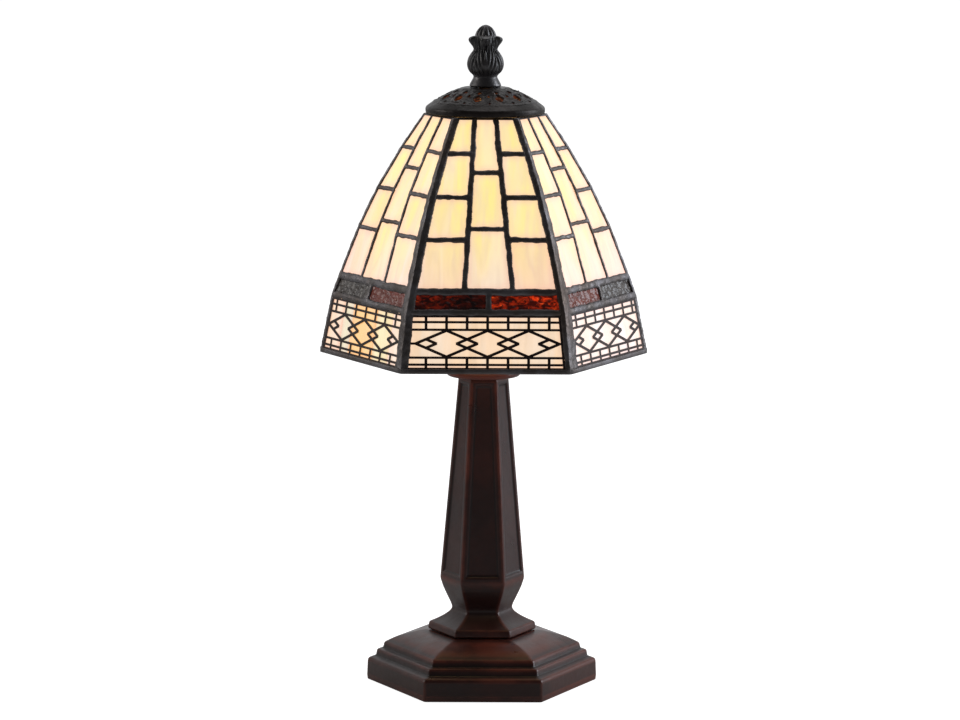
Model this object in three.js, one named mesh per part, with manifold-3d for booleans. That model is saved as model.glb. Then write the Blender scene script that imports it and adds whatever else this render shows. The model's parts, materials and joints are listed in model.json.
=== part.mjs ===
// A small stained glass table lamp: a cast hexagonal foot and stem, a screw-base lamp holder inside a
// wire bracket, and a six-panel leaded glass shade held down by a pierced cap and a leaf finial.
// Millimetres, +Z up, origin on the table under the centre of the foot, front face towards -Y.
import * as THREE from "three";
import { mergeVertices } from "three/addons/utils/BufferGeometryUtils.js";
import Module from "manifold-3d";

const wasm = await Module();
wasm.setup();

// ---------------------------------------------------------------- driving dimensions
const SIDES = 6; // foot, stem and shade are all regular hexagons
const TAN30 = Math.tan(Math.PI / SIDES);
const GAP = 0.3; // between pieces that touch
const ROUND = 24; // segments of a visible turned piece
const SMALL_ROUND = 16; // segments of a small turned piece

// foot and stem: [corner radius, height]
const FELT = 1.0;
const FOOT_BOTTOM = FELT + GAP;
const FOOT_TOP = 28.3;
const FOOT_CORNER = 63.4;
const CAVITY = { corner: 58.6, roof: 24 };
const BUSHING = { z: 7.2, hole: 4.1, tube: 3.8, bore: 2.8, flange: 4.9, wallIn: 50.2, wallOut: 54.9 };
const STEM_BOTTOM = FOOT_TOP + GAP;
const STEM_TOP = 170.5;
const STEM_WIDEST = { corner: 23.3, z: 57.6 };
const STEM_NECK_CORNER = 13.9;
const BORE_CORNER = 6.2;
const RECESS = { bottom: 61, top: 166.4, border: 2.3, depth: 0.9 };

// wiring tube and shade bracket
const PIPE = { outer: 4.8, inner: 3.6, bottom: 3.6, top: 184 };
const DISC = { radius: 20.2, bottom: STEM_TOP + GAP, thick: 3.2 };
const SADDLE = { halfLength: 32, halfWidth: 6.5, bottom: DISC.bottom + DISC.thick + GAP, thick: 1.8 };
const SADDLE_TOP = SADDLE.bottom + SADDLE.thick;
const BRACKET = { rod: 2, halfWidth: 29, bottom: SADDLE_TOP + GAP, shoulder: 250, top: 309.5 };
const STUD = { radius: 3.17, flange: 6.5, bottom: BRACKET.top + BRACKET.rod + GAP, top: 334.5 };

// lamp holder, lamp and switch
const HOLDER_BOTTOM = 180.9;
const HOLDER = { radius: 13.6, wall: 0.8, bottom: 191, top: 222 };
const SWITCH = { z: 198.5, spindle: 1.6, hole: 2.3, shaftIn: 9.4, shaftOut: 19.4, knobOut: 31 };
const LAMP_BOTTOM = 209;
const LAMP_TOP = 294;
const LAMP_RADIUS = 17.5;

// shade: apothem of the glass's outer face at each height, where the face bends
const SHADE = [
  { z: 183, a: 76.5 },
  { z: 214.5, a: 71.1 },
  { z: 225, a: 67.7 },
  { z: 251.5, a: 58.8 },
  { z: 273, a: 49.9 },
  { z: 295, a: 38.7 },
  { z: 316, a: 26.5 },
];
const [RIM_Z, FRIEZE_TOP_Z, AMBER_TOP_Z, ...BENDS] = SHADE.map((level) => level.z);
const SIDE_JOINTS = BENDS.slice(0, 3); // joints of the two outer columns of glass
const CENTRE_JOINTS = [257, 285.5]; // joints of the middle column
const GLASS_TOP_Z = 312.4;
const GLASS_THICK = 2.6;
const LINE = { inner: GAP, outer: 1.3, width: 2.4 };
const CAME = { outer: 1.9, top: 2.0, bottom: 2.7 };
const BAND_WIDTH = 2.9; // the two solder bands above and below the amber glass
const COLUMN = { top: 5.6, spread: 0.0815 }; // half width of the middle column, and its growth downwards

// pierced cap, spider and finial
const CAP = { rim: 32.4, rimBottom: 313.8, rimTop: 316.9, flat: 12.2, top: 327.3, thick: 1.1 };
const VENTS = { count: 12, turn: 19, outer: 22.1, outerSize: 2.5, inner: 16.6, innerSize: 1.5 };
const SPIDER = { ring: 30.3, ringInner: 26, hub: 8, arm: 5, bottom: 313.7, thick: 1.4 };
const CLEARANCE_HOLE = 3.7; // over the stud
const FINIAL = { bottom: CAP.top + GAP, top: 361, bore: 5, boreTop: 346, leaves: 4 };
const INSERT = { outer: 4.6, inner: 3.5, bottom: FINIAL.bottom + GAP, top: 338.5 };

// ---------------------------------------------------------------- materials
const material = (color, roughness, metalness, extra = {}) =>
  new THREE.MeshStandardMaterial({ color, roughness, metalness, ...extra });
const MATERIALS = {
  casting: material(0x2e1714, 0.38, 0.25),
  patina: material(0x26262a, 0.5, 0.7),
  filigree: material(0x3a2420, 0.5, 0.7),
  opal: material(0xfbe6c4, 0.25, 0, { transparent: true, opacity: 0.9 }),
  amber: material(0x7a2408, 0.2, 0, { transparent: true, opacity: 0.85 }),
  capMetal: material(0x2b2b2c, 0.45, 0.6),
  brass: material(0xb08a45, 0.3, 0.9),
  steel: material(0x9a9a9a, 0.35, 0.9),
  iron: material(0x4a4a4c, 0.7, 0.8),
  phenolic: material(0x17120f, 0.4, 0),
  felt: material(0x1f3326, 0.95, 0),
  lampGlass: material(0xfff3d6, 0.3, 0, { transparent: true, opacity: 0.8 }),
};

// ---------------------------------------------------------------- solids
function solidOf(geometry) {
  const bare = geometry.clone();
  bare.deleteAttribute("normal");
  bare.deleteAttribute("uv");
  const merged = mergeVertices(bare, 1e-4);
  return new wasm.Manifold(
    new wasm.Mesh({
      numProp: 3,
      vertProperties: new Float32Array(merged.attributes.position.array),
      triVerts: new Uint32Array(merged.index.array),
    }),
  );
}

function geometryOf(solid) {
  const { vertProperties, triVerts } = solid.asOriginal().simplify(0.01).getMesh();
  const geometry = new THREE.BufferGeometry();
  geometry.setAttribute("position", new THREE.BufferAttribute(vertProperties, 3));
  geometry.setIndex(new THREE.BufferAttribute(triVerts, 1));
  geometry.computeVertexNormals();
  return geometry;
}

const join = (geometries) =>
  geometryOf(geometries.map(solidOf).reduce((whole, next) => whole.add(next)));
const cut = (body, tools) =>
  geometryOf(tools.map(solidOf).reduce((rest, tool) => rest.subtract(tool), solidOf(body)));

// A profile of [radius, height] points turned about Z. Its outer wall is given going up.
function turned(profile, segments = ROUND, start = 0) {
  const points = profile.map(([radius, z]) => new THREE.Vector2(radius, z));
  return new THREE.LatheGeometry(points, segments, start).rotateX(Math.PI / 2);
}

// The same with six flat sides, one facing the front; the radii are corner radii.
const hexagonal = (profile) => turned(profile, SIDES, Math.PI / SIDES);

// A tube or ring: outer radius, inner radius, bottom and top.
function ring(outer, inner, bottom, top, segments = SMALL_ROUND) {
  return turned([[inner, bottom], [outer, bottom], [outer, top], [inner, top], [inner, bottom]], segments);
}

// A plain upright cylinder on the axis.
const solidRod = (radius, bottom, top) =>
  turned([[0, bottom], [radius, bottom], [radius, top], [0, top]], SMALL_ROUND);

// A plain cylinder that lies along Y, between two distances in front of the axis.
function frontRod(radius, near, far, z, segments = SMALL_ROUND) {
  const rod = new THREE.CylinderGeometry(radius, radius, far - near, segments);
  return rod.translate(0, -(near + far) / 2, z);
}

function extruded(points, depth) {
  const outline = new THREE.Shape(points.map(([x, y]) => new THREE.Vector2(x, y)));
  return new THREE.ExtrudeGeometry(outline, { depth, bevelEnabled: false });
}

// ---------------------------------------------------------------- faces that bend
// A face is a list of { z, a } levels: the apothem a of one side of the hexagon at height z.
function apothemAt(face, z) {
  const i = Math.max(1, face.findIndex((level) => level.z >= z));
  const [low, high] = [face[i - 1], face[i]];
  return low.a + ((z - low.z) / (high.z - low.z)) * (high.a - low.a);
}

// The face's line from z0 up to z1, moved out by a distance: points of { z, a }.
function offsetLine(face, z0, z1, distance) {
  const line = [z0, ...face.map((level) => level.z).filter((z) => z > z0 + 0.01 && z < z1 - 0.01), z1];
  const points = line.map((z) => new THREE.Vector2(apothemAt(face, z), z));
  const normals = points.slice(1).map((point, i) => {
    const run = point.clone().sub(points[i]).normalize();
    return new THREE.Vector2(run.y, -run.x);
  });
  return points.map((point, i) => {
    const [before, after] = [normals[Math.max(0, i - 1)], normals[Math.min(i, normals.length - 1)]];
    const mitre = before.clone().add(after).divideScalar(1 + before.dot(after));
    return point.clone().addScaledVector(mitre, distance);
  });
}

// A plate on the front side of the hexagon, from z0 to z1, between two distances off the face: a box
// that bends with the face. left and right give its edges: x at an apothem and a height.
function plate(face, z0, z1, inner, outer, left, right) {
  const [back, front] = [offsetLine(face, z0, z1, inner), offsetLine(face, z0, z1, outer)];
  const rows = front.length - 1;
  const geometry = new THREE.BoxGeometry(2, 2, 2, 1, rows, 1);
  const position = geometry.attributes.position;
  for (let i = 0; i < position.count; i++) {
    const row = Math.round(((position.getY(i) + 1) / 2) * rows);
    const { x: a, y: z } = (position.getZ(i) > 0 ? front : back)[row];
    position.setXYZ(i, position.getX(i) > 0 ? right(a, z) : left(a, z), -a, z);
  }
  return geometry;
}

const edge = (side, inset) => (a) => side * (a * TAN30 - inset); // beside a corner of the hexagon
const cameWidth = (z) => CAME.top + ((GLASS_TOP_Z - z) / (GLASS_TOP_Z - RIM_Z)) * (CAME.bottom - CAME.top);
const besideCame = (side) => (a, z) => side * (apothemAt(SHADE, z) * TAN30 - cameWidth(z) - GAP);
const column = (side, out = 0) => (a, z) => side * (COLUMN.top + COLUMN.spread * (GLASS_TOP_Z - z) + out);
const shadePlate = (...rest) => plate(SHADE, ...rest);

// ---------------------------------------------------------------- foot and stem
function foot() {
  const outer = [
    [FOOT_CORNER - 0.6, FOOT_BOTTOM], [FOOT_CORNER, 2], [62.9, 11.4], [61.6, 12.9], [58.9, 13.7],
    [58.5, 14.2], [57.8, 16.6], [56.8, 17.5], [55, 17.9], [54.7, 18.4], [53.8, 20.4], [52.4, 21.3],
    [30, FOOT_TOP], [BORE_CORNER, FOOT_TOP],
  ];
  const { corner, roof } = CAVITY;
  const cavity = [[BORE_CORNER, roof], [20, roof], [50, 16.5], [corner, 11], [corner, FOOT_BOTTOM]];
  const casting = hexagonal([...outer, ...cavity, outer[0]]);
  return cut(casting, [frontRod(BUSHING.hole, -60, -45, BUSHING.z)]);
}

function stemFace() {
  const corner = [STEM_WIDEST, { corner: STEM_NECK_CORNER, z: 168 }];
  return corner.map(({ corner: radius, z }) => ({ z, a: radius * Math.cos(Math.PI / SIDES) }));
}

function stem() {
  const { corner, z } = STEM_WIDEST;
  const outer = [
    [28.4, STEM_BOTTOM], [29, 29.3], [28.3, 32.3], [27.2, 33.3], [21.9, 35.9], [18.4, 38.1], [17, 39.6],
    [16.7, 41], [17.3, 42.9], [18.9, 46.3], [21.9, 52.5], [22.8, 55], [corner, z],
    [STEM_NECK_CORNER, 168], [STEM_NECK_CORNER - 0.5, STEM_TOP], [BORE_CORNER, STEM_TOP],
  ];
  const casting = hexagonal([...outer, [BORE_CORNER, STEM_BOTTOM], outer[0]]);
  const { bottom, top, border, depth } = RECESS;
  const pocket = plate(stemFace(), bottom, top, -depth, 3, edge(-1, border), edge(1, border));
  const pockets = Array.from({ length: SIDES }, (_, i) => pocket.clone().rotateZ((i * Math.PI * 2) / SIDES));
  return cut(casting, pockets);
}

function baseWeight() {
  const [radius, boss, hole] = [42, 14, PIPE.outer + 2 * GAP];
  const [bottom, shoulder, top] = [10.9, 16.3, CAVITY.roof - GAP];
  return turned([
    [hole, bottom], [radius, bottom], [radius, shoulder], [boss, shoulder], [boss, top], [hole, top],
    [hole, bottom],
  ]);
}

function cordBushing() {
  const { z, tube, bore, flange, wallIn, wallOut } = BUSHING;
  const outside = -wallOut - 1.6;
  const body = [frontRod(tube, outside, -wallIn + 2, z), frontRod(flange, outside, -wallOut - GAP, z)];
  return cut(join(body), [frontRod(bore, -60, -40, z)]);
}

// A hexagonal nut on the wiring tube, given across its flats.
function nut(acrossFlats, bottom, top) {
  const corner = acrossFlats / 2 / Math.cos(Math.PI / SIDES);
  return cut(hexagonal([[0, bottom], [corner, bottom], [corner, top], [0, top]]), [
    solidRod(PIPE.outer + GAP, bottom - 1, top + 1),
  ]);
}

// ---------------------------------------------------------------- bracket and lamp holder
function stemDisc() {
  const { radius, bottom, thick } = DISC;
  const hole = PIPE.outer + GAP;
  return turned([
    [hole, bottom], [radius - 1.6, bottom], [radius - 0.4, bottom + 0.6], [radius, bottom + 1.6],
    [radius - 0.4, bottom + 2.6], [radius - 1.6, bottom + thick], [hole, bottom + thick], [hole, bottom],
  ], 32);
}

function saddle() {
  const { halfLength, halfWidth, bottom, thick } = SADDLE;
  const strap = new THREE.BoxGeometry(2 * halfLength, 2 * halfWidth, thick);
  strap.translate(0, 0, bottom + thick / 2);
  return cut(strap, [solidRod(PIPE.outer + GAP, bottom - 1, bottom + thick + 1)]);
}

function bracket() {
  const { rod, halfWidth, bottom, shoulder, top } = BRACKET;
  const leg = [bottom, 200, 225, shoulder].map((z) => [halfWidth, z]);
  const arch = [15, 30, 45, 60, 75, 90].map((degrees) => {
    const turn = THREE.MathUtils.degToRad(degrees);
    return [halfWidth * Math.cos(turn), shoulder + (top - shoulder) * Math.sin(turn)];
  });
  const right = [...leg, ...arch];
  const left = right.slice(0, -1).reverse().map(([x, z]) => [-x, z]);
  const path = new THREE.CatmullRomCurve3([...right, ...left].map(([x, z]) => new THREE.Vector3(x, 0, z)));
  const section = new THREE.Shape(Array.from({ length: 6 }, (_, i) =>
    new THREE.Vector2(rod, 0).rotateAround(new THREE.Vector2(), (i * Math.PI) / 3)));
  return new THREE.ExtrudeGeometry(section, { steps: 30, bevelEnabled: false, extrudePath: path });
}

function stud() {
  const { radius, flange, bottom, top } = STUD;
  const shoulder = bottom + 1.6;
  return turned([[0, bottom], [flange, bottom], [flange, shoulder], [radius, shoulder], [radius, top - 0.6],
    [radius - 0.6, top], [0, top]], SMALL_ROUND);
}

function holderCap() {
  const hole = PIPE.outer + GAP;
  return turned([
    [hole, HOLDER_BOTTOM], [9, HOLDER_BOTTOM], [13, 184.4], [14.2, 190.4], [13.1, 190.4], [12, 185.4],
    [8.6, 182.4], [hole, 182.4], [hole, HOLDER_BOTTOM],
  ]);
}

function holderShell() {
  const { radius, wall, bottom, top } = HOLDER;
  const tube = turned([
    [radius - wall, bottom], [radius, bottom], [radius, top - 2.4], [radius + 0.7, top - 1.6],
    [radius + 0.7, top - 0.6], [radius, top], [radius - wall, top], [radius - wall, bottom],
  ]);
  return cut(tube, [frontRod(SWITCH.hole, 8, 20, SWITCH.z)]);
}

function holderBody() {
  const [radius, well, floor] = [HOLDER.radius - HOLDER.wall - GAP, 7.7, 206.2];
  const block = turned([
    [0, HOLDER.bottom + GAP], [radius, HOLDER.bottom + GAP], [radius, HOLDER.top - 0.6],
    [well, HOLDER.top - 0.6],
    [well, floor], [0, floor],
  ]);
  return cut(block, [frontRod(SWITCH.hole, 7, 16, SWITCH.z)]);
}

function switchKnob() {
  const { z, shaftOut, knobOut } = SWITCH;
  const hub = frontRod(3.6, shaftOut + GAP, shaftOut + 4, z);
  const paddle = new THREE.ExtrudeGeometry(
    new THREE.Shape().absellipse(0, 0, 5.6, 2.3, 0, Math.PI * 2),
    { depth: knobOut - shaftOut - 3, bevelEnabled: false, curveSegments: 8 },
  );
  return join([hub, paddle.rotateX(Math.PI / 2).translate(0, -shaftOut - 3, z)]);
}

function lampGlass() {
  const base = 224;
  const bulge = { z: 253, radius: LAMP_RADIUS };
  const belly = Array.from({ length: 7 }, (_, i) => {
    const turn = (i * Math.PI) / 14;
    return [bulge.radius * Math.cos(turn) ** 0.85, bulge.z + (LAMP_TOP - bulge.z) * Math.sin(turn)];
  });
  const profile = [[0, base], [6.4, base], [7.6, 229], [12, 237], [16, 245], ...belly, [0, LAMP_TOP]];
  return turned(profile, SMALL_ROUND);
}

function lampCap() {
  const threads = [213, 216.2, 219.4].flatMap((z) => [[5.3, z - 0.8], [5.95, z], [5.3, z + 0.8]]);
  return turned([[0, 211], [4.6, 211], ...threads, [5.9, 223.7], [0, 223.7]], SMALL_ROUND);
}

// ---------------------------------------------------------------- one panel of the shade
function opalGlass() {
  return shadePlate(AMBER_TOP_Z + 0.2, GLASS_TOP_Z - 0.4, -GLASS_THICK, 0, edge(-1, GAP), edge(1, GAP));
}

function amberGlass() {
  return shadePlate(FRIEZE_TOP_Z + 0.2, AMBER_TOP_Z - 0.2, -GLASS_THICK, 0, edge(-1, GAP), edge(1, GAP));
}

function friezeGlass() {
  return shadePlate(RIM_Z + 2.2, FRIEZE_TOP_Z - 0.2, -GLASS_THICK, 0, edge(-1, GAP), edge(1, GAP));
}

// Solder lines over the joints of one panel: two long seams, the short joints of the three columns,
// the bands above and below the amber glass, and the joint in the middle of it.
function solderLines() {
  const { inner, outer, width } = LINE;
  const half = width / 2;
  const line = (z, left, right, reach = half) => shadePlate(z - reach, z + reach, inner, outer, left, right);
  const seams = [-1, 1].map((side) => {
    const edges = [column(side, -half), column(side, half)];
    return shadePlate(AMBER_TOP_Z, GLASS_TOP_Z - 1.8, inner, outer, ...(side < 0 ? edges.reverse() : edges));
  });
  const sideJoints = SIDE_JOINTS.flatMap((z) => [
    line(z, besideCame(-1), column(-1)),
    line(z, column(1), besideCame(1)),
  ]);
  const centreJoints = CENTRE_JOINTS.map((z) => line(z, column(-1), column(1)));
  const band = (z) => line(z, besideCame(-1), besideCame(1), BAND_WIDTH / 2);
  const bands = [AMBER_TOP_Z, FRIEZE_TOP_Z].map(band);
  const divider = shadePlate(FRIEZE_TOP_Z, AMBER_TOP_Z, inner, outer, () => -half, () => half);
  return join([...seams, ...sideJoints, ...centreJoints, ...bands, divider]);
}

// Pierced metal sheet over the frieze glass. Its drawing is in the plane of the panel: x across, and
// v up the slope from the rim.
const FRIEZE = {
  thick: 0.6, bottom: 3, top: 30.4, rows: [5.3, 8.9, 23.7, 27.6], pitch: 10.8, line: 1.2, border: 1.3,
  middle: 16.3, diamond: 6.9,
};
const friezeTilt = Math.atan((SHADE[0].a - SHADE[1].a) / (FRIEZE_TOP_Z - RIM_Z));

function bar(x1, v1, x2, v2, width) {
  const length = Math.hypot(x2 - x1, v2 - v1);
  return new THREE.BoxGeometry(length + width / 2, width, FRIEZE.thick)
    .rotateZ(Math.atan2(v2 - v1, x2 - x1))
    .translate((x1 + x2) / 2, (v1 + v2) / 2, FRIEZE.thick / 2);
}

function filigree() {
  const { bottom, top, rows, pitch, line, border, middle, diamond, thick } = FRIEZE;
  const halfWidth = (v) => {
    const z = RIM_Z + v * Math.cos(friezeTilt);
    return besideCame(1)(0, z);
  };
  const outline = [[-halfWidth(bottom), bottom], [halfWidth(bottom), bottom], [halfWidth(top), top],
    [-halfWidth(top), top]];
  const sheet = extruded(outline, thick);
  const opening = extruded([
    [-halfWidth(bottom) + border, bottom + 0.4], [halfWidth(bottom) - border, bottom + 0.4],
    [halfWidth(top) - border, top - 0.4], [-halfWidth(top) + border, top - 0.4],
  ], thick + 2).translate(0, 0, -1);
  const rails = rows.map((v) => bar(-halfWidth(v) + 0.3, v, halfWidth(v) - 0.3, v, line));
  const ticks = [-3, -2, -1, 0, 1, 2, 3].flatMap((i) => [
    bar(i * pitch, bottom + 0.3, i * pitch, rows[0], line),
    bar(i * pitch, rows[3], i * pitch, top - 0.3, line),
  ]);
  const reach = 1.5 * pitch; // a diamond's side runs on past its neighbour's, which leaves a small one
  const sides = [-2, 0, 2].flatMap((i) => [-1, 1].flatMap((x) => [-1, 1].map((v) =>
    bar(i * pitch, middle + v * diamond, i * pitch + x * reach, middle, line))));
  const ends = [-1, 1].flatMap((x) => [
    bar(x * 2.5 * pitch, middle, x * 3 * pitch, middle + diamond / 3, line),
    bar(x * 2.5 * pitch, middle, x * 3 * pitch, middle - diamond / 3, line),
    bar(x * 3.5 * pitch, middle, x * (halfWidth(middle) - 0.3), middle, line),
  ]);
  const frame = solidOf(sheet).subtract(solidOf(opening));
  const drawing = [...rails, ...ticks, ...sides, ...ends].map(solidOf);
  return geometryOf(drawing.reduce((whole, next) => whole.add(next), frame).intersect(solidOf(sheet)));
}

// ---------------------------------------------------------------- parts that hold the panels
// Solder seams over the six corners, joined by a band round the top.
function cornerFrame() {
  const bottom = RIM_Z + 3.6;
  const strip = (side) => {
    const inside = (a, z) => side * (apothemAt(SHADE, z) * TAN30 - cameWidth(z));
    const outside = edge(side, -0.4);
    const [left, right] = side < 0 ? [outside, inside] : [inside, outside];
    return shadePlate(bottom, GLASS_TOP_Z, GAP, CAME.outer, left, right);
  };
  const band = shadePlate(GLASS_TOP_Z - 1.5, GLASS_TOP_Z, GAP, CAME.outer, edge(-1, -0.4), edge(1, -0.4));
  const panel = [strip(-1), strip(1), band];
  const turns = Array.from({ length: SIDES }, (_, i) => (i * Math.PI * 2) / SIDES);
  return join(turns.flatMap((turn) => panel.map((piece) => piece.clone().rotateZ(turn))));
}

// A U-shaped came round the lower edge of the frieze.
function rimCame() {
  const corner = 1 / Math.cos(Math.PI / SIDES);
  const [out, wall, lip, floor] = [CAME.outer, 0.8, 3.2, 1.2];
  const at = (z, distance) => (apothemAt(SHADE, z) + distance) * corner;
  const inside = -GLASS_THICK - GAP;
  return hexagonal([
    [at(RIM_Z, inside - wall), RIM_Z], [at(RIM_Z, out), RIM_Z], [at(RIM_Z + lip, out), RIM_Z + lip],
    [at(RIM_Z + lip, out - wall), RIM_Z + lip], [at(RIM_Z + floor, out - wall), RIM_Z + floor],
    [at(RIM_Z + floor, inside), RIM_Z + floor], [at(RIM_Z + lip, inside), RIM_Z + lip],
    [at(RIM_Z + lip, inside - wall), RIM_Z + lip], [at(RIM_Z, inside - wall), RIM_Z],
  ]);
}

function spider() {
  const { ring: radius, ringInner, hub, arm, bottom, thick } = SPIDER;
  const top = bottom + thick;
  const arms = [0, 60, 120].map((degrees) =>
    new THREE.BoxGeometry(2 * ringInner + 1, arm, thick).rotateZ(THREE.MathUtils.degToRad(degrees))
      .translate(0, 0, bottom + thick / 2));
  const centre = turned([[0, bottom], [hub, bottom], [hub, top], [0, top]], SMALL_ROUND);
  return cut(join([ring(radius, ringInner, bottom, top, ROUND), centre, ...arms]), [
    solidRod(CLEARANCE_HOLE, bottom - 1, top + 1),
  ]);
}

function ventedCap() {
  const { rim, rimBottom, rimTop, flat, top, thick } = CAP;
  const { count, turn, outer, outerSize, inner, innerSize } = VENTS;
  const step = (Math.PI * 2) / count;
  const start = THREE.MathUtils.degToRad(turn);
  const dome = turned([
    [rim - thick, rimBottom], [rim, rimBottom], [rim, rimTop - 0.6], [rim - 0.7, rimTop + 0.2], [27.6, 320.1],
    [19.3, 324.5], [flat, top], [CLEARANCE_HOLE, top], [CLEARANCE_HOLE, top - thick],
    [flat - 0.4, top - thick],
    [19, 323.2], [27, 319], [rim - thick, rimTop - 0.4], [rim - thick, rimBottom],
  ], 2 * count, start - step / 4);
  const vent = (radius, size, angle) => {
    const hole = new THREE.CylinderGeometry(size, size, 20, 4).rotateX(Math.PI / 2);
    return hole.translate(0, -radius, 320).rotateZ(angle);
  };
  const holes = Array.from({ length: count }, (_, i) => start + i * step).flatMap((angle) => [
    vent(outer, outerSize, angle),
    vent(inner, innerSize, angle),
  ]);
  return cut(dome, holes);
}

// A leaf finial: a bell foot, a leafy bulb whose leaf tips curl out, and a ribbed bud.
function finial() {
  const { bottom, top, bore, boreTop, leaves } = FINIAL;
  const outer = [
    [bore, bottom], [8.6, bottom], [8.7, 328.3], [8.2, 329.8], [7, 332], [6.9, 333.4], [8.3, 335.7],
    [9.6, 337.8],
    [10, 340], [9.6, 342.4], [8.4, 344.6], [7.1, 347.2], [7.2, 349], [8.3, 350.6], [9.2, 352.2], [8.4, 353.9],
    [6.2, 354.6], [5.5, 356.3], [4.2, 358.9], [2.5, 360.4], [0, top], [0, boreTop], [bore, boreTop],
    [bore, bottom],
  ];
  const geometry = turned(outer, SMALL_ROUND);
  const position = geometry.attributes.position;
  const lift = { bulb: { z: 340, reach: 7, depth: 0.05 }, tips: { z: 352, reach: 2.4, depth: 0.12 } };
  for (let i = 0; i < position.count; i++) {
    const [x, y, z] = [position.getX(i), position.getY(i), position.getZ(i)];
    if (Math.hypot(x, y) <= bore + 0.1) continue;
    const angle = Math.atan2(y, x);
    const wave = ({ z: middle, reach, depth }, count) =>
      depth * (Math.cos(count * angle) - 1) * Math.exp(-(((z - middle) / reach) ** 2));
    const scale = 1 + wave(lift.bulb, 2 * leaves) + wave(lift.tips, leaves);
    position.setXY(i, x * scale, y * scale);
  }
  return geometry;
}

// ---------------------------------------------------------------- the lamp
const lamp = new THREE.Group();

function add(name, geometry, kind, group = lamp) {
  const mesh = new THREE.Mesh(geometry, MATERIALS[kind]);
  mesh.name = name;
  group.add(mesh);
  return mesh;
}

// stand
add("felt_pad", hexagonal([[0, 0], [61.5, 0], [61.5, FELT], [0, FELT]]), "felt");
const plateCorner = CAVITY.corner - 2 * GAP;
const plateOutline = [[0, FOOT_BOTTOM], [plateCorner, FOOT_BOTTOM], [plateCorner, 2.8], [0, 2.8]];
add("bottom_plate", hexagonal(plateOutline), "iron");
add("foot", foot(), "casting");
add("stem", stem(), "casting");
add("base_weight", baseWeight(), "iron");
add("base_washer", ring(11, PIPE.outer + GAP, 9.4, 10.6), "steel");
add("base_nut", nut(16, 4, 9.1), "steel");
add("cord_bushing", cordBushing(), "phenolic");
add("lamp_pipe", ring(PIPE.outer, PIPE.inner, PIPE.bottom, PIPE.top), "steel");
add("stem_disc", stemDisc(), "casting");
add("bracket_saddle", saddle(), "brass");
add("shade_bracket", bracket(), "brass");
add("bracket_stud", stud(), "brass");
add("saddle_nut", nut(14, SADDLE_TOP + GAP, 180.5), "brass");
add("holder_cap", holderCap(), "brass");
add("holder_shell", holderShell(), "brass");
add("holder_body", holderBody(), "phenolic");
add("screw_shell", ring(7.3, 6.5, 206.6, 220.6), "brass");
add("centre_contact", solidRod(2.6, 206.5, 208.6), "brass");

// switch
add("switch_spindle", frontRod(SWITCH.spindle, SWITCH.shaftIn, SWITCH.shaftOut, SWITCH.z, 12), "steel");
add("switch_knob", switchKnob(), "phenolic");

// lamp
const tipProfile = [[0, LAMP_BOTTOM], [1.8, LAMP_BOTTOM], [4.2, 210.7], [0, 210.7]];
add("lamp_tip", turned(tipProfile, SMALL_ROUND), "steel");
add("lamp_cap", lampCap(), "brass");
add("lamp_glass", lampGlass(), "lampGlass");

// shade
for (let i = 0; i < SIDES; i++) {
  const panel = new THREE.Group();
  panel.rotation.z = (i * Math.PI * 2) / SIDES;
  lamp.add(panel);
  add(`opal_glass_${i + 1}`, opalGlass(), "opal", panel);
  add(`amber_glass_${i + 1}`, amberGlass(), "amber", panel);
  add(`frieze_glass_${i + 1}`, friezeGlass(), "opal", panel);
  add(`solder_lines_${i + 1}`, solderLines(), "patina", panel);
  const sheet = add(`filigree_${i + 1}`, filigree(), "filigree", panel);
  sheet.rotation.x = Math.PI / 2 - friezeTilt;
  sheet.position.set(0, -SHADE[0].a, RIM_Z).add(
    new THREE.Vector3(0, -Math.cos(friezeTilt), Math.sin(friezeTilt)).multiplyScalar(GAP),
  );
}
add("corner_frame", cornerFrame(), "patina");
add("rim_came", rimCame(), "patina");
add("shade_spider", spider(), "brass");
add("vented_cap", ventedCap(), "capMetal");

// finial
add("finial_insert", ring(INSERT.outer, INSERT.inner, INSERT.bottom, INSERT.top), "brass");
add("finial", finial(), "capMetal");

export default lamp;
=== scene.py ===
"""Looks of a small leaded glass table lamp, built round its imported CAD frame. +Z is up and the front is -Y.

Shapes are worked out in millimetres and become metres when a mesh is made.
"""
import json
import random
from math import atan2, ceil, cos, exp, hypot, pi, radians, sin, sqrt, tan

import bmesh
import bpy
from mathutils import Matrix, Vector, noise
from mathutils.geometry import delaunay_2d_cdt


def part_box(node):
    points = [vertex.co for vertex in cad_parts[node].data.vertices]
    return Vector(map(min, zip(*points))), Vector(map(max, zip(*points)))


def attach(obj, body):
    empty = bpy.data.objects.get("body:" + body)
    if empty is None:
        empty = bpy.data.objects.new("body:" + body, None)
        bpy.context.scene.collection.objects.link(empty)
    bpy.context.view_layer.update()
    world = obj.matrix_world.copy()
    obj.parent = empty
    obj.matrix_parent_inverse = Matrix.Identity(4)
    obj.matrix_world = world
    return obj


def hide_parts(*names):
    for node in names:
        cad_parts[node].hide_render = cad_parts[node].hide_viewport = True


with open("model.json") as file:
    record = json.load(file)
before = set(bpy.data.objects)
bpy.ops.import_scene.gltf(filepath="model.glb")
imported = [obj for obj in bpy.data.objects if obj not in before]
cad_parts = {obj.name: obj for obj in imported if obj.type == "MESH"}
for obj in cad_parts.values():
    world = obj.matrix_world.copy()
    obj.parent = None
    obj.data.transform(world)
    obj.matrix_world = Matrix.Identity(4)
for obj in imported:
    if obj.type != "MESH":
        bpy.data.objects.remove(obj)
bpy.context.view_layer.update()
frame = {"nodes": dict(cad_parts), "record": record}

MM = 0.001
SIDES = 6
TAN30 = tan(pi / 6)
COS30 = cos(pi / 6)


def low(node, axis=2):
    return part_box(node)[0][axis] / MM


def high(node, axis=2):
    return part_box(node)[1][axis] / MM


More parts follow.
